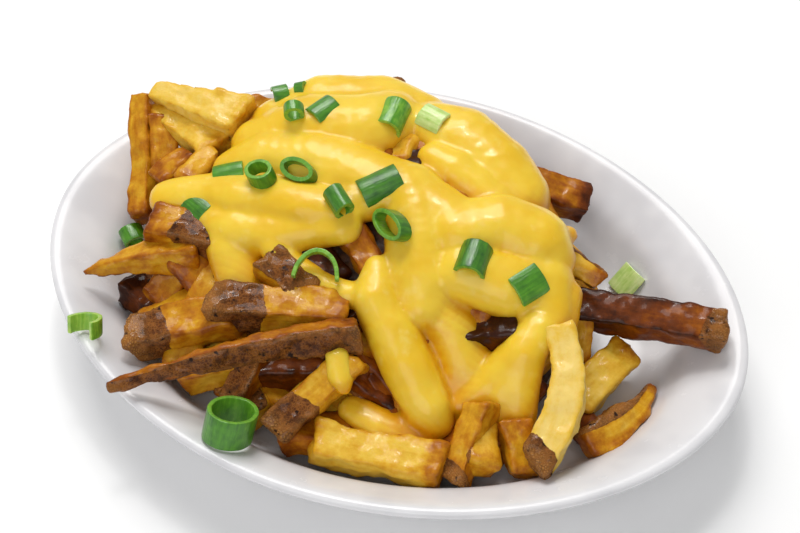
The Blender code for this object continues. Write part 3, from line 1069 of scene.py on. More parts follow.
# Every fry that has a name in the solids, in about the same place.
FRIES = {
    # Painted shade: the fries at the left have tones set about 0.12 darker than their own, for the shade
    # that falls on that side.
    "rear_left_upright": Fry((-97, 26, 42), (-82, -6, 22), 8, 11, 20, tone=0.42, brown=(0.3, 1.0)),
    "rear_left_second": Fry((-89, 22, 39), (-81, 9, 30), 10, 10, tone=0.44),
    "rear_wedge": Fry(
        (-94, 26, 45), (-60, 25, 46), 16, 9, 16, 1, 0.45, 1.05,
        tone=0.12, brown=(0.2, 0.7), kind=PALE,
    ),
    "rear_wedge_low": Fry((-93, 25, 40), (-65, 15, 39), 14, 10, 14, 0, 0.6, 1.0, tone=0.2, kind=PALE),
    "rear_wedge_inner": Fry((-72, 16, 35), (-58, 28, 38), 11, 10, tone=0.3, kind=PALE),
    "rear_orange": Fry((-72, 12, 37), (-78, 0, 33), 9, 10, 10, tone=0.46),
    "rear_pale": Fry((-66, 14, 39), (-68, -1, 37), 8, 9, tone=0.30, brown=(0.3, 0.8)),
    "under_arm": Fry(
        (-70, -19, 36), (-47, -16, 35), 13, 13, 8, 1,
        tone=0.46, caps=(0, 12), brown=(0.9, 0.6), kind=PEEL,
    ),
    "left_tip": Fry((-84, -38, 28), (-54, -20, 32), 14, 13, -15, 1, 0.15, 1.1, tone=0.42, peel=(UNDER,)),
    "left_dark": Fry((-73, -31, 20), (-60, -35, 17), 11, 11, tone=0.86, kind=DARK),
    "left_short": Fry((-63, -35, 20), (-57, -20, 27), 12, 11, 20, tone=0.48),
    "left_short_skin": Fry((-59, -23, 31), (-46, -27, 24), 12, 12, 15, tone=0.56, peel=(UNDER,)),
    "left_front": Fry(
        (-59, -51, 24), (-34, -36, 30), 14, 13, 10,
        tone=0.46, caps=(9, 0), brown=(1.0, 0.5), kind=PEEL,
    ),
    "knuckle": Fry(
        (-39, -38, 34), (-2, -26, 35), 13, 12, 10, 1,
        tone=0.42, caps=(14, 0), brown=(0.8, 0.4), kind=PEEL,
    ),
    "long_skin": Fry(
        (-54, -74, 30), (6, -34, 37), 7, 11, -22, 2.5, 0.35, 1.05,
        tone=0.60, peel=(RIGHT, UNDER), kind=PEEL,
    ),
    "front_left_low": Fry((-43, -54, 17), (-26, -44, 21), 12, 11, tone=0.36, kind=PALE),
    "front_left_stub": Fry((-23, -42, 26), (-24, -56, 15), 11, 11, 12, tone=0.6, peel=(UP,), kind=PEEL),
    "front_left_dark": Fry((-24, -46, 20), (0, -36, 21), 12, 12, tone=0.80, kind=DARK),
    "front_left_brown": Fry(
        (-8, -63, 20), (6, -37, 31), 11, 12, 18,
        tone=0.36, caps=(11, 0), brown=(0.8, 0.3), kind=PEEL,
    ),
    # Its dark tone is partly its own browning and partly painted shade for the shadow under the tongue.
    "under_tongue": Fry((-4, -36, 25), (19, -38, 16), 11, 11, tone=0.80, kind=DARK),
    "front": Fry((2, -60, 18), (40, -54, 18), 13, 12, 10, -1, tone=0.22, brown=(0.5, 1.7)),
    "front_stand": Fry(
        (44, -34, 26), (44, -55, 15), 10, 12, 15, 0, 1.0, 0.75,
        tone=0.4, caps=(0, 3), brown=(0.2, 1.0),
    ),
    "front_back_small": Fry((47, -44, 12), (50, -33, 15), 9, 9, tone=0.55),
    "behind_curtain": Fry((53, -34, 23), (61, -44, 14), 11, 11, tone=0.42, kind=PALE),
    "pale_long": Fry(
        (56, -8, 38), (63.5, -47, 22), 13, 10, 6, 0, 0.8, 0.95, -6,
        tone=0.04, caps=(0, 4.5), brown=(0.4, 1.0), kind=PALE,
    ),
    "right_stub": Fry((59, 9, 27), (61, 0, 15), 8, 9, tone=0.36, kind=PALE),
    "right_low_near": Fry((65, -17, 13), (73, 8, 15), 13, 12, 14, tone=0.20, brown=(0.5, 1.2), kind=PALE),
    "right_low_far": Fry(
        (73, -30, 17), (84, 1, 14), 13, 11, 30, 1, 0.55, 0.25, 2.5, 1.9,
        tone=0.34, peel=(LEFT,), brown=(1.0, 1.2), kind=PEEL,
    ),
    # Painted shade: this fry is dark to stand for the shadow in the gap between the two low fries at the
    # right.
    "right_under": Fry((66, -16, 11), (75, -25, 14), 8, 8, tone=0.8, kind=DARK),
    "long_right": Fry(
        (30, 8, 22), (99, 15, 30), 12, 12, 20,
        tone=0.98, fade=0.34, caps=(0, 3), brown=(0.5, 0.6), kind=DARK,
    ),
    "lobe_tip_skin": Fry(
        (32, 24, 36), (61, 18, 31), 12, 10, 34, 1, 1.0, 0.6,
        tone=0.26, peel=(LEFT,), brown=(0.3, 1.0), kind=PALE,
    ),
    "rear_right": Fry((4, 43, 36), (45, 51, 27), 12, 12, 16, tone=0.56, brown=(0.5, 1.0), kind=DARK),
    "rear_right_thin": Fry((8, 62, 36), (21, 49, 34), 8, 9, 20, 0, 0.7, 1.0, tone=0.74, kind=DARK),
    "hollow_orange": Fry((-12, -3, 44), (7, -16, 37), 11, 11, 15, tone=0.54),
    "hollow_left": Fry(
        (-30, -20, 39), (-15, -26, 36), 12, 11, 10, 1,
        tone=0.36, peel=(UP, LEFT), kind=PEEL,
    ),
    # Painted shade: these three fries, deep in the hollow, in the notch and behind the curtains, are
    # nearly black for the shade in those holes.
    "hollow_deep": Fry((-24, -10, 39), (-8, -17, 35), 11, 11, tone=0.95, kind=DARK),
    "notch_rear": Fry((-14, 24, 44), (0, 27, 47), 10, 10, tone=0.98, kind=DARK),
    "curtain_hollow": Fry((28, -18, 30), (46, -11, 33), 11, 11, tone=0.98, kind=DARK),
    "back_left": Fry((-74, 38, 30), (-46, 56, 26), 12, 12, 14, 1, tone=0.42, kind=REAR),
    "back_left_low": Fry((-60, 47, 24), (-34, 61, 25), 12, 11, 10, tone=0.55, peel=(LEFT,), kind=REAR),
    "back_middle": Fry((-40, 55, 34), (-12, 62, 29), 12, 12, 20, 1, tone=0.35, kind=REAR),
    "back_middle_low": Fry((-24, 64, 26), (8, 60, 22), 12, 12, 12, tone=0.5, peel=(END,), kind=REAR),
    "back_right": Fry((-10, 58, 32), (16, 60, 22), 12, 11, 18, tone=0.4, peel=(LEFT,), kind=REAR),
    "back_right_low": Fry((4, 58, 18), (32, 53, 17), 12, 12, 10, tone=0.62, kind=REAR),
    "back_upright": Fry((-20, 58, 38), (-8, 70, 23), 10, 10, 18, tone=0.48, peel=(START,), kind=REAR),
}


@dataclass
class FryMaker:
    """Cuts, bends, roughens and colours one fry at a time.

    Slants, twists and rolls are in degrees. sag, wave, crag and grit are the size and the depth
    of the relief, from the coarsest to the finest. The pairs called rises are the shares of the
    half width between which an effect fades in.
    """

    relief: Relief
    voxel: float = 0.8
    cuts: int = 5
    smoothing: int = 3
    twist: float = 9.0
    end_band: float = 0.01
    belly_core: float = 0.4
    belly_reach: float = 0.7
    end_scale: float = 0.86
    uneven: float = 0.45
    slant: float = 16.0
    slimmest: float = 0.72
    facing: float = 0.8
    sag: tuple[float, float] = (14.0, 2.2)
    wave: tuple[float, float] = (7.0, 1.7)
    crag: tuple[float, float] = (2.2, 0.65)
    grit: tuple[float, float] = (1.2, 0.35)
    brown_reach: float = 7.0
    corner_brown: float = 0.7
    corner_rise: tuple[float, float] = (0.45, 0.95)
    peel_rise: tuple[float, float] = (0.52, 0.88)
    cap_blur: float = 2.0
    cap_lean: tuple[float, float] = (1.6, -2.2)
    crust_relief: float = 0.8
    least_relief: float = 0.05
    grain_run: float = 0.16
    grain_shift: float = 1.7

    def frame(self, fry: Fry) -> tuple[Matrix, float]:
        """Where a fry lies.

        Args:
            fry: The fry.

        Returns:
            The placing of a stick that stands on +Z with +Y as its top, and its length.
        """
        start, end = Vector(fry.start), Vector(fry.end)
        along = (end - start).normalized()
        across = along.cross(Vector((0, 0, 1))).normalized()
        up = across.cross(along)
        spin = Matrix.Rotation(math.radians(fry.roll), 3, along)
        turn = Matrix((-(spin @ across), spin @ up, along)).transposed().to_4x4()
        return Matrix.Translation((start + end) / 2 * MM) @ turn, (end - start).length

    def cut(self, fry: Fry, length: float, seed: int) -> bpy.types.Object:
        """Cut a stick: a cube drawn out, its ends thinned, its faces made uneven.

        Args:
            fry: The fry.
            length: Its length in millimetres.
            seed: Seed of its unevenness.

        Returns:
            The stick, standing on +Z round the origin.
        """
        draw = random.Random(seed)
        Bench.clear()
        bpy.ops.mesh.primitive_cube_add(size=1.0)
        stick = bpy.context.object
        stick.scale = (fry.width * MM, fry.depth * MM, length * MM)
        Bench.settle(stick)
        bpy.ops.object.mode_set(mode="EDIT")
        half = length * MM / 2
        for level, scale in ((-half, fry.start_scale), (half, fry.end_scale)):
            low, high = sorted((level * (1 - self.end_band), level * (1 + self.end_band)))
            Bench.level(stick, low, high)
            size = scale * self.end_scale
            bpy.ops.transform.resize(value=(size, size, 1))
            for axis in "XY":
                slant = math.radians(draw.uniform(-self.slant, self.slant))
                bpy.ops.transform.rotate(value=slant, orient_axis=axis, center_override=(0, 0, level))
        for side in ((0, 1, 0), (1, 0, 0), (-1, 0, 0)):
            self.slim(stick, side, draw)
        bpy.ops.mesh.select_all(action="SELECT")
        bpy.ops.mesh.subdivide(number_cuts=self.cuts)
        if fry.belly > 1:
            core = half * self.belly_core
            Bench.level(stick, -core, core)
            bpy.ops.transform.resize(
                value=(fry.belly, fry.belly, 1),
                use_proportional_edit=True,
                proportional_edit_falloff="SPHERE",
                proportional_size=half * self.belly_reach,
            )
            bpy.ops.mesh.select_all(action="SELECT")
        bpy.ops.transform.vertex_random(offset=self.uneven * MM, seed=seed)
        bpy.ops.object.mode_set(mode="OBJECT")
        Bench.modify(stick, "REMESH", mode="VOXEL", voxel_size=self.voxel * MM)
        Bench.modify(stick, "SMOOTH", factor=0.5, iterations=self.smoothing)
        return stick

    def slim(self, stick: bpy.types.Object, side: Point, draw: random.Random) -> None:
        """In edit mode, narrow one long side, so that the section is no neat square.

        Args:
            stick: The stick, still a plain box.
            side: The side's direction.
            draw: Where the amount comes from.
        """
        Bench.choose(stick, lambda face: face.normal.dot(Vector(side)) > self.facing)
        size = draw.uniform(self.slimmest, 1.0)
        bpy.ops.transform.resize(value=[1.0 if part else size for part in side[:2]] + [1.0])

    def colour(self, stick: bpy.types.Object, fry: Fry, length: float) -> None:
        """Paint where a stick is browned, where it has peel, and the run of its flesh.

        Args:
            stick: The stick before it is bent.
            fry: The fry.
            length: Its length in millimetres.
        """
        places = Bench.points(stick) / MM
        share = places / (np.array((fry.width, fry.depth, length)) / 2)
        run = (share[:, 2] + 1) / 2
        slim = fry.start_scale + (fry.end_scale - fry.start_scale) * run
        share[:, :2] /= slim[:, None]
        corner = ease(np.minimum(abs(share[:, 0]), abs(share[:, 1])), *self.corner_rise)
        near_start = ease(places[:, 2], -length / 2 + self.brown_reach, -length / 2)
        near_end = ease(places[:, 2], length / 2 - self.brown_reach, length / 2)
        crust = np.maximum(corner * self.corner_brown, near_start * fry.brown[0])
        crust = np.maximum(crust, near_end * fry.brown[1])
        peel = np.zeros(len(places))
        for side in fry.peel:
            facing = share @ np.array(side.value, dtype=float)
            peel = np.maximum(peel, ease(facing, *self.peel_rise))
        lean = share[:, 0] * self.cap_lean[0] + share[:, 1] * self.cap_lean[1]
        for cap, depth in zip(fry.caps, (places[:, 2] + length / 2, length / 2 - places[:, 2])):
            if cap:
                border = ease(depth + lean, cap + self.cap_blur, cap - self.cap_blur)
                peel = np.maximum(peel, border)
        Bench.paint(stick, "tone", fry.tone - fry.fade * run**2)
        Bench.paint(stick, "crust", crust)
        Bench.paint(stick, "peel", peel)
        shift = np.array(fry.start) * self.grain_shift
        Bench.paint(stick, "grain", (places * (1, 1, self.grain_run) + shift) * MM)
        rough = stick.vertex_groups.new(name="rough")
        levels = np.clip(np.maximum(peel, crust * self.crust_relief), 0, 1)
        for index in np.nonzero(levels > self.least_relief)[0]:
            rough.add([int(index)], float(levels[index]), "REPLACE")

    def bend(self, stick: bpy.types.Object, fry: Fry, length: float, twist: float) -> None:
        """Bow and sway a stick and twist it a little.

        An arc that rises by a small height over its chord turns by 8 heights over the chord.

        Args:
            stick: The stick.
            fry: The fry.
            length: Its length in millimetres.
            twist: Its twist in degrees.
        """
        turns = [("TWIST", "Z", math.radians(twist))]
        for axis, rise in (("X", -fry.bow), ("Y", fry.sway)):
            if rise:
                turns.append(("BEND", axis, 8 * rise / length))
        for method, axis, angle in turns:
            Bench.modify(
                stick, "SIMPLE_DEFORM", deform_method=method, deform_axis=axis, angle=angle
            )

    def make(self, fry: Fry, seed: int) -> bpy.types.Object:
        """Make one fry in its place.

        Args:
            fry: The fry.
            seed: Seed of its unevenness.

        Returns:
            The fry, with its place in its mesh.
        """
        placing, length = self.frame(fry)
        stick = self.cut(fry, length, seed)
        self.colour(stick, fry, length)
        draw = random.Random(seed)
        self.bend(stick, fry, length, draw.uniform(-self.twist, self.twist))
        lift = Matrix.Translation((-fry.sway * MM, fry.bow * MM, 0))
        stick.matrix_world = placing @ lift
        Bench.settle(stick)
        self.relief.push(stick, *self.sag)
        self.relief.push(stick, *self.wave)
        self.relief.push(stick, *self.crag, "rough")
        self.relief.push(stick, *self.grit)
        return stick


@dataclass
class FryHeap:
    """All the fries: the ones that show by name, and sunk ones that fill the gaps.

    The sunk ones lie between two shares of the mound's outline, not far out in the dish.
    """

    dish: Dish
    mound: Mound
    maker: FryMaker
    seed: int = 11
    sunk_count: int = 84
    sunk_length: tuple[float, float] = (18.0, 40.0)
    sunk_voxel: float = 1.35
    sunk_lift: float = -3.2
    sunk_right: float = 60.0
    sunk_spread: tuple[float, float] = (0.08, 0.92)
    sunk_size: tuple[float, float] = (10.0, 13.0)
    sunk_depth: tuple[float, float] = (0.85, 1.0)
    sunk_clearance: float = 0.62
    sunk_roll: float = 20.0
    sunk_tones: tuple[float, ...] = (0.28, 0.4, 0.48, 0.56, 0.68)
    sunk_peels: tuple[tuple[Side, ...], ...] = ((), (), (UP,), (LEFT,), (END,))
    sunk_first_seed: int = 111
    dish_share: float = 0.80

    def sunk(self) -> Iterator[Fry]:
        """Fries that lie along the mound's surface, sunk into it.

        Returns:
            The fries, one at a time.
        """
        draw = random.Random(self.seed)
        while True:
            turn, share = draw.uniform(0, 2 * math.pi), math.sqrt(draw.uniform(*self.sunk_spread))
            x, y = (share * part for part in self.mound.edge(turn))
            heading, half = draw.uniform(0, math.pi), draw.uniform(*self.sunk_length) / 2
            size = draw.uniform(*self.sunk_size)
            ends = []
            for sign in (-1, 1):
                px = x + sign * half * math.cos(heading)
                py = y + sign * half * math.sin(heading)
                low = self.dish.top(px, py) + size * self.sunk_clearance
                ends.append((px, py, max(self.mound.top(px, py) + self.sunk_lift, low)))
            out = max(self.dish.share(px, py) for px, py, _ in ends) > self.dish_share
            if out or max(ends)[0] > self.sunk_right:
                continue
            tone, peel = draw.choice(self.sunk_tones), draw.choice(self.sunk_peels)
            depth = size * draw.uniform(*self.sunk_depth)
            roll = draw.uniform(-self.sunk_roll, self.sunk_roll)
            yield Fry(*ends, size, depth, roll, tone=tone, peel=peel)

    def build(self, potato: bpy.types.Material) -> list[bpy.types.Object]:
        """Make every fry and join them by kind.

        Args:
            potato: The fries' finish.

        Returns:
            The finished pieces.
        """
        kinds: dict[Kind, list[bpy.types.Object]] = {kind: [] for kind in Kind}
        for number, fry in enumerate(FRIES.values()):
            kinds[fry.kind].append(self.maker.make(fry, self.seed + number))
        pieces = []
        for kind, sticks in kinds.items():
            piece = Bench.join(sticks, kind.value)
            pieces.append(Bench.finish(piece, ["fries"], "fried_potato", potato))
        coarse = FryMaker(self.maker.relief, voxel=self.sunk_voxel)
        filler = zip(range(self.sunk_count), self.sunk())
        sticks = [coarse.make(fry, self.sunk_first_seed + number) for number, fry in filler]
        piece = Bench.join(sticks, "fries_sunk")
        pieces.append(Bench.finish(piece, ["fries"], "fried_potato", potato))
        return pieces


@dataclass(frozen=True)
class Stroke:
    """A run of poured cheese: the route of its top, its half width at each point, its flatness."""

    route: tuple[Point, ...]
    half_widths: tuple[float, ...]
    flatness: float = 0.8


# The poured sauce: the high mass, the arm at the left, the strand and tongue in front, and the
# lobes and curtains at the right.
STROKES = {
    "mass_front": Stroke(
        ((-54, 7, 48), (-45, 13, 53), (-30, 15, 56), (-15, 13, 57), (0, 13, 57)),
        (8, 11, 12, 12, 11),
    ),
    "mass_middle": Stroke(((-52, 20, 50), (-38, 28, 57), (-22, 33, 59), (-17, 40, 57)), (10, 13, 13, 11)),
    "mass_rear": Stroke(((-52, 30, 50), (-40, 42, 54), (-24, 48, 54), (-10, 47, 53)), (8, 11, 12, 10)),
    "rear_fall": Stroke(((-38, 44, 52), (-34, 56, 42), (-31, 62, 34)), (9, 8, 5)),
    "rear_fall_right": Stroke(((-10, 46, 52), (-6, 56, 42), (-3, 63, 32)), (9, 7, 5)),
    "right_lobe": Stroke(
        ((-5, 43, 55), (6, 42, 56), (18, 37, 54), (27, 31, 50), (30, 26, 45)),
        (9, 12, 12.5, 12, 9),
    ),
    "valley": Stroke(((2, 29, 54), (9, 28, 54), (18, 26, 52), (28, 22, 49)), (5.5, 7, 7.5, 8)),
    "saddle": Stroke(((-14, 2, 54), (-4, 10, 56), (5, 12, 56), (15, 9, 55)), (7, 8, 9, 9)),
    "saddle_fall": Stroke(((4, 10, 56), (10, 0, 53), (14, -8, 49), (17, -15, 44)), (10, 11, 11, 9)),
    "arm": Stroke(
        (
            (-69, -9, 43), (-64, -7, 45), (-56, -4, 47), (-46, -4, 50),
            (-36, -3, 52), (-26, -3, 54), (-14, -2, 54),
        ),
        (6.5, 7, 7, 8, 8, 8, 7),
        0.7,
    ),
    "apron": Stroke(
        ((-52, -12, 44), (-43, -13, 46), (-31, -11, 48), (-20, -7, 50), (-12, -6, 52)),
        (6, 8, 8, 7, 6),
    ),
    "arm_curtain": Stroke(
        ((-46, -12, 45), (-43, -18, 42), (-38, -23, 39), (-33, -27, 36)),
        (8, 8, 8, 5),
        0.7,
    ),
    "strand": Stroke(
        ((-33, -11, 48), (-29, -17, 45), (-21, -19, 43), (-11, -21, 41), (-3, -22, 42)),
        (5, 4.5, 4, 4, 4.5),
        0.9,
    ),
    "tongue": Stroke(
        ((2, -13, 46.5), (5, -21, 45), (13, -27, 40.5), (21, -33, 35.5), (29, -39, 29), (33, -41, 24)),
        (4.5, 7, 8, 8, 7, 5),
        0.95,
    ),
    "big_lobe": Stroke(((20, 6, 55), (30, 13, 55), (40, 14, 53), (46, 12, 47)), (11, 11, 11, 8)),
    "big_lobe_fall": Stroke(
        ((26, -4, 51), (38, -2, 49), (46, 4, 47), (51, -3, 42), (52, -9, 39)),
        (10, 11, 10, 8, 6),
    ),
    "nub": Stroke(((44, 18, 46), (48, 22, 45)), (5.5, 3.2), 0.9),
    "sheet": Stroke(
        ((18, -12, 43), (27, -16, 38), (33, -21, 33), (35, -28, 26), (35, -34, 20)),
        (9, 9, 9, 7.5, 5.5),
    ),
    "curtain_left": Stroke(
        ((49, -15, 39), (46, -21, 35), (43, -27, 30), (38, -33, 25)),
        (4.5, 5.5, 5.5, 4),
    ),
    "curtain_right": Stroke(
        ((51, -10, 41), (50, -18, 38.5), (51, -25, 32), (53, -31, 24), (54, -34, 19)),
        (6.5, 6.5, 6.5, 6, 4.5),
    ),
    "curtain_middle": Stroke(((48, -20, 36.5), (47, -26, 30), (48, -30, 25)), (6, 8, 6)),
    "edge_right": Stroke(((55, 4, 41), (57, -2, 38), (58, -7, 34)), (4, 3.5, 3), 0.9),
    "puddle": Stroke(((9, -46, 22), (17, -47, 21.5), (26, -46, 20), (33, -42, 19)), (5, 6, 6, 5), 0.6),
}

# The splash that lies by itself.
DROPS = {
    "cheese_drop": Stroke(((2, -41, 37), (5, -45, 34), (7, -47, 31)), (3.6, 4.2, 2.8), 0.6),
}


@dataclass
class CheeseSauce:
    """Poured cheese: beads along every stroke, fused, settled and rippled.

    fold and ripple are the size and the depth of the relief. hollow is how far below the cheese
    around it, reach cells wide, a place starts to take painted shade and takes the most of it.
    """

    relief: Relief
    voxel: float = 0.75
    settling: int = 12
    bead_step: float = 0.4
    bead_sides: tuple[int, int] = (16, 10)
    fold: tuple[float, float] = (13.0, 1.1)
    ripple: tuple[float, float] = (5.0, 0.35)
    cell: float = 2.0
    reach: int = 5
    # Depths below the cheese around, in millimetres, where the painted shade starts and where it is
    # fullest.
    hollow: tuple[float, float] = (0.6, 6.0)

    def beads(self, stroke: Stroke) -> Iterator[tuple[Vector, Vector]]:
        """Centre and half sizes of each bead along a stroke.

        Args:
            stroke: The stroke.

        Returns:
            The beads, one at a time, in millimetres.
        """
        points = list(zip(stroke.route, stroke.half_widths))
        for (here, wide), (there, wide_next) in zip(points, points[1:]):
            here, there = Vector(here), Vector(there)
            steps = max(math.ceil((there - here).length / (self.bead_step * min(wide, wide_next))), 1)
            for step in range(steps + 1):
                share = step / steps
                radius = wide + (wide_next - wide) * share
                size = Vector((radius, radius, radius * stroke.flatness))
                yield here.lerp(there, share) - Vector((0, 0, size.z)), size

    def build(
        self, strokes: dict[str, Stroke], name: str, node: str, cheese: bpy.types.Material
    ) -> bpy.types.Object:
        """Pour the strokes and fuse them into one skin.

        Args:
            strokes: The strokes by name.
            name: The piece's name.
            node: The solid that it stands for.
            cheese: Its finish.

        Returns:
            The finished piece.
        """
        Bench.clear()
        segments, rings = self.bead_sides
        bpy.ops.mesh.primitive_uv_sphere_add(segments=segments, ring_count=rings, radius=1.0)
        first = bpy.context.object
        copies = []
        for stroke in strokes.values():
            for centre, size in self.beads(stroke):
                bead = Bench.copy(first)
                bead.matrix_world = Matrix.LocRotScale(centre * MM, None, size * MM)
                copies.append(bead)
        bpy.data.objects.remove(first)
        sauce = Bench.join(copies, name)
        Bench.settle(sauce)
        Bench.modify(sauce, "REMESH", mode="VOXEL", voxel_size=self.voxel * MM)
        Bench.modify(sauce, "SMOOTH", factor=0.5, iterations=self.settling)
        self.relief.push(sauce, *self.fold)
        self.relief.push(sauce, *self.ripple)
        # Painted shade: the hollow share darkens the cheese where it lies low.
        Bench.paint(sauce, "hollow", self.shade_in_hollows(Bench.points(sauce) / MM))
        return Bench.finish(sauce, [node], "cheese", cheese)

    def shade_in_hollows(self, places: np.ndarray) -> np.ndarray:
        """How far each point lies below the middling height around it, where less light comes.

        Args:
            places: The sauce's points in millimetres.

        Returns:
            A share from 0 to 1 for each point.
        """
        cells = ((places[:, :2] - places[:, :2].min(axis=0)) / self.cell).astype(int) + self.reach
        at = tuple(cells.T)
        tops = np.zeros(cells.max(axis=0) + self.reach + 1)
        np.maximum.at(tops, at, places[:, 2])
        window = (2 * self.reach + 1,) * 2
        total, count = (
            np.lib.stride_tricks.sliding_window_view(np.pad(grid, self.reach), window).sum(axis=(2, 3))
            for grid in (tops, tops > 0)
        )
        return ease((total / np.maximum(count, 1))[at] - places[:, 2], *self.hollow)


@dataclass(frozen=True)
class Onion:
    """A slice of hollow green stalk, in millimetres and degrees.

    stalk is the heading and rise of the stalk's own direction, and tone runs from 0, nearly
    white, to 1, dark green.
    """

    place: Point
    radius: float
    length: float
    stalk: tuple[float, float]
    arc: float = 360.0
    squash: float = 1.0
    roll: float = 0.0
    tone: float = 0.7


# The slices of onion, by the solids that they stand for.
ONIONS = {
    "onion_ring_front": Onion((-17.5, -69.5, 27.5), 7.4, 9.0, (82, 63), 360, 0.85, tone=0.75),
    "onion_curl_left": Onion((-69, -54, 29.5), 5.4, 5.4, (108, 60), 200, 0.8, 147, tone=0.5),
    "onion_left_rear": Onion((-83.5, -11, 18), 3.4, 5.5, (-38, -15), 300, 0.8, 67, tone=0.75),
    "onion_flat_left": Onion((-57.5, -11.5, 43.5), 8.0, 8.6, (-22, -2), 62, 1.0, 22, tone=0.82),
    "onion_arc_left": Onion((-54, 2, 48), 5.0, 9.5, (28, 13), 110, 0.9, -9, tone=0.72),
    "onion_ring_left": Onion((-41, -1, 53), 4.4, 4.6, (-168, 72), 360, 0.75, -36, tone=0.78),
    "onion_fold": Onion((-31, 4.5, 53), 5.2, 4.4, (-111, 61), 360, 0.55, -80, tone=0.85),
    "onion_ring_small": Onion((-41.5, 23, 58), 2.7, 3.4, (-62, -8), 360, 0.9, 17, tone=0.7),
    "onion_strip_rear": Onion((-34.5, 28.5, 58), 4.4, 8.6, (65, 5), 100, tone=0.78),
    "onion_dull_rear": Onion((-53, 36, 52), 3.6, 5.0, (40, 0), 140, 0.9, tone=0.8),
    "onion_crumb_rear": Onion((-48, 39.5, 53), 2.2, 3.0, (16, 22), 150, 0.9, -12, tone=0.8),
    "onion_half_green": Onion((-12.5, 35, 58), 4.4, 10.5, (93, 7), 150, 0.9, 28, tone=0.6),
    "onion_half_pale": Onion((-3, 40, 56), 5.4, 8.6, (-15, 1), 90, 0.9, 15, tone=0.12),
    "onion_tube_middle": Onion((-14, -4, 55.5), 2.9, 7.8, (-37, -12), 360, 0.85, 2, tone=0.8),
    "onion_leaf_strip": Onion((-5.5, 6.5, 56.5), 6.0, 12.5, (45, 13), 110, 0.9, 19, tone=0.85),
    "onion_loop": Onion((3, -4.5, 53), 6.4, 4.4, (-129, 33), 360, 0.5, -77, tone=0.8),
    "onion_arc_thin": Onion((-14, -17, 47), 9.0, 2.6, (-66, 66), 170, 0.7, -10, tone=0.7),
    "onion_striped_tube": Onion((29, -5.5, 53), 4.6, 10.0, (96, 8), 160, 0.9, 7, tone=0.85),
    "onion_flat_right": Onion((45.5, -4.5, 47), 8.0, 9.6, (60, 5), 62, 1.0, 35, tone=0.72),
    "onion_right_floor": Onion((63.5, 38, 12.5), 8.5, 9.0, (57, 41), 62, 1.0, -7, tone=0.1),
}


@dataclass
class OnionSlicer:
    """Slices hollow stalks: part or all of an oval tube with ribs and rounded cut edges.

    A slice with less than whole_arc of the stalk is placed by its own middle, not the stalk's.
    """

    wall: float = 1.3
    edge: float = 0.22
    edge_segments: int = 2
    edge_angle: float = 50.0
    grain_run: float = 0.12
    whole_arc: float = 290.0
    sides: int = 60
    rows: int = 5
    uneven: float = 0.12
    seed: int = 3

    def placing(self, onion: Onion) -> Matrix:
        """Where a slice lies.

        Args:
            onion: The slice.

        Returns:
            The placing of a tube that stands on +Z with its open slice's middle at +X.
        """
        heading, rise = (math.radians(angle) for angle in onion.stalk)
        level = math.cos(rise)
        stalk = Vector((math.cos(heading) * level, math.sin(heading) * level, math.sin(rise)))
        beside = stalk.cross(Vector((0, 0, 1))).normalized()
        facing = Matrix.Rotation(math.radians(onion.roll), 3, stalk) @ beside.cross(stalk)
        centre = Vector(onion.place)
        if onion.arc < self.whole_arc:
            centre -= facing * onion.radius
        turn = Matrix((facing, stalk.cross(facing), stalk)).transposed().to_4x4()
        return Matrix.Translation(centre * MM) @ turn

    @staticmethod
    def beyond(middle: Vector, limit: float) -> bool:
        """Whether a place lies further round the stalk than a limit in degrees."""
        return abs(math.degrees(math.atan2(middle.y, middle.x))) > limit

    def slice(self, onion: Onion, seed: int) -> bpy.types.Object:
        """Cut one slice.

        Args:
            onion: The slice.
            seed: Seed of its unevenness.

        Returns:
            The slice in its place.
        """
        Bench.clear()
        bpy.ops.mesh.primitive_cylinder_add(
            vertices=self.sides, radius=onion.radius * MM, depth=onion.length * MM, end_fill_type="NOTHING"
        )
        tube = bpy.context.object
        bpy.ops.object.mode_set(mode="EDIT")
        bm = bmesh.from_edit_mesh(tube.data)
        for edge in bm.edges:
            edge.select = abs(edge.verts[0].co.z - edge.verts[1].co.z) > onion.length * MM / 2
        bm.select_flush_mode()
        bmesh.update_edit_mesh(tube.data)
        bpy.ops.mesh.subdivide(number_cuts=self.rows - 1)
        if onion.arc < 360:
            Bench.choose(tube, lambda face: self.beyond(face.calc_center_median(), onion.arc / 2))
            bpy.ops.mesh.delete(type="FACE")
        bpy.ops.mesh.select_all(action="SELECT")
        bpy.ops.transform.resize(value=(1, onion.squash, 1), center_override=(0, 0, 0))
        bpy.ops.transform.vertex_random(offset=self.uneven * MM, seed=seed)
        bpy.ops.object.mode_set(mode="OBJECT")
        places = Bench.points(tube)
        Bench.paint(tube, "grain", places * (1, 1, self.grain_run))
        Bench.paint(tube, "tone", np.full(len(places), onion.tone))
        for _ in Wall:
            tube.data.materials.append(None)
        Bench.modify(
            tube,
            "SOLIDIFY",
            thickness=self.wall * MM,
            offset=0.0,
            material_offset=Wall.INNER.value,
            material_offset_rim=Wall.CUT.value,
        )
        Bench.modify(
            tube,
            "BEVEL",
            width=self.edge * MM,
            segments=self.edge_segments,
            limit_method="ANGLE",
            angle_limit=math.radians(self.edge_angle),
        )
        Bench.modify(tube, "SUBSURF", levels=1, render_levels=1)
        tube.matrix_world = self.placing(onion)
        Bench.settle(tube)
        return tube

    def build(self, materials: list[bpy.types.Material]) -> list[bpy.types.Object]:
        """Slice every piece of onion.

        Args:
            materials: The finishes of the outer, inner and cut faces.

        Returns:
            The finished pieces.
        """
        pieces = []
        for number, (node, onion) in enumerate(ONIONS.items()):
            piece = self.slice(onion, self.seed + number)
            piece.name = piece.data.name = f"{node}_slice"
            for index, material in enumerate(materials):
                piece.data.materials[index] = material
            pieces.append(Bench.finish(piece, [node], "spring_onion"))
        return pieces


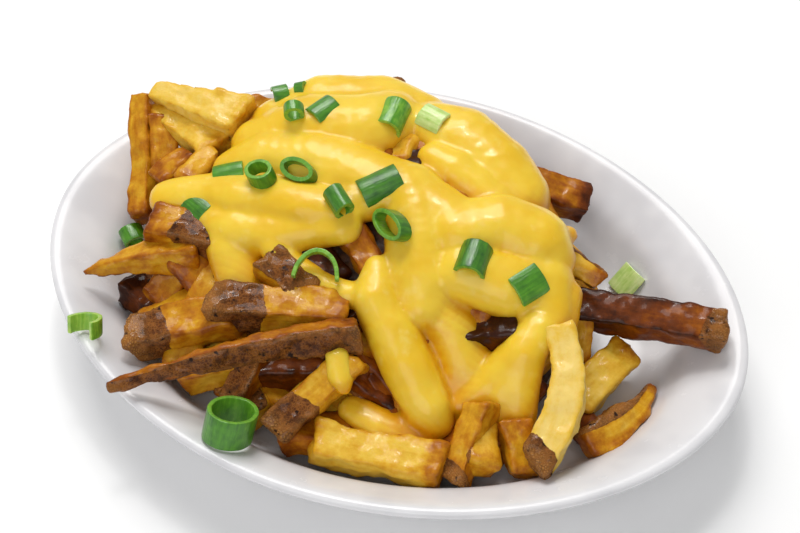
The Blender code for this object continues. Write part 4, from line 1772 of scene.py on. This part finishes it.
@dataclass(frozen=True)
class Lamp:
    """A square softbox that faces the dish: its place and side in metres, power in watts."""

    name: str
    place: Point
    size: float
    power: float
    colour: Colour

    def hang(self) -> None:
        """Hang the lamp."""
        bpy.ops.object.light_add(type="AREA", location=self.place)
        lamp = bpy.context.object
        lamp.name = self.name
        lamp.rotation_euler = (-Vector(self.place)).to_track_quat("-Z", "Y").to_euler()
        lamp.data.shape = "SQUARE"
        lamp.data.size = self.size
        lamp.data.energy = self.power
        lamp.data.color = self.colour


LAMPS = (
    Lamp("key_light", (-0.45, 0.6, 1.2), 0.8, 12.0, (1.0, 0.99, 0.97)),
    Lamp("fill_light", (0.1, -1.1, 0.9), 1.0, 6.5, (0.98, 0.99, 1.0)),
    Lamp("glint_light", (-0.2, 0.4, 1.1), 0.14, 1.4, (1.0, 1.0, 1.0)),
)


@dataclass
class Studio:
    """The pale floor, soft light and camera at the photograph's viewing angle.

    Angles are in degrees, the camera's distance, target and lens in millimetres, and the floor's
    side in metres.
    """

    azimuth: float = 23.5
    elevation: float = 48.0
    distance: float = 507.0
    target: Point = (-7.5, 25.5, 0.0)
    lens: float = 70.0
    floor_size: float = 6.0
    world: float = 0.38
    near_clip: float = 0.01

    def camera(self) -> None:
        """Set the camera."""
        turn, tilt = math.radians(self.azimuth), math.radians(self.elevation)
        back = Vector((math.sin(turn) * math.cos(tilt), -math.cos(turn) * math.cos(tilt), math.sin(tilt)))
        bpy.ops.object.camera_add()
        camera = bpy.context.object
        camera.location = (Vector(self.target) + back * self.distance) * MM
        camera.rotation_euler = (-back).to_track_quat("-Z", "Y").to_euler()
        camera.data.lens = self.lens
        camera.data.clip_start = self.near_clip
        bpy.context.scene.camera = camera

    def build(self, pale: bpy.types.Material) -> None:
        """Set up the floor, lights, world and camera.

        Args:
            pale: The floor's finish.
        """
        Bench.clear()
        bpy.ops.mesh.primitive_plane_add(size=self.floor_size)
        floor = bpy.context.object
        floor.name = "floor"
        floor.data.materials.append(pale)
        floor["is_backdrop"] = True
        for lamp in LAMPS:
            lamp.hang()
        world = bpy.data.worlds.new("soft_room")
        world.use_nodes = True
        back = world.node_tree.nodes["Background"]
        back.inputs["Color"].default_value = (1.0, 1.0, 1.0, 1.0)
        back.inputs["Strength"].default_value = self.world
        bpy.context.scene.world = world
        bpy.context.scene.view_settings.view_transform = "Standard"
        self.camera()


def write_sizes() -> None:
    """Gather the solids' box and the dressed object's box as plain lists."""
    boxes = {"cad": cad_box, "visual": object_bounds()}
    plain = {name: [list(corner) for corner in box] for name, box in boxes.items()}


def main() -> None:
    """Build the dish, the heap, the cheese, the onion and the studio in turn."""
    logging.basicConfig(level=logging.INFO, format="%(message)s")
    relief = Relief()
    dish = Dish()
    mound = Mound(dish)
    potato = PotatoFinish().make()
    cheese = CheeseFinish().make()
    onion = OnionFinish()
    dish.build(GlazeFinish().make())
    mound.build(CoreFinish().make())
    FryHeap(dish, mound, FryMaker(relief)).build(potato)
    sauce = CheeseSauce(relief)
    sauce.build(STROKES, "cheese_poured", "cheese_sauce", cheese)
    sauce.build(DROPS, "cheese_splash", "cheese_drop", cheese)
    OnionSlicer().build([onion.make(wall) for wall in Wall])
    Studio().build(FloorFinish().make())
    write_sizes()


if __name__ == "__main__":
    main()
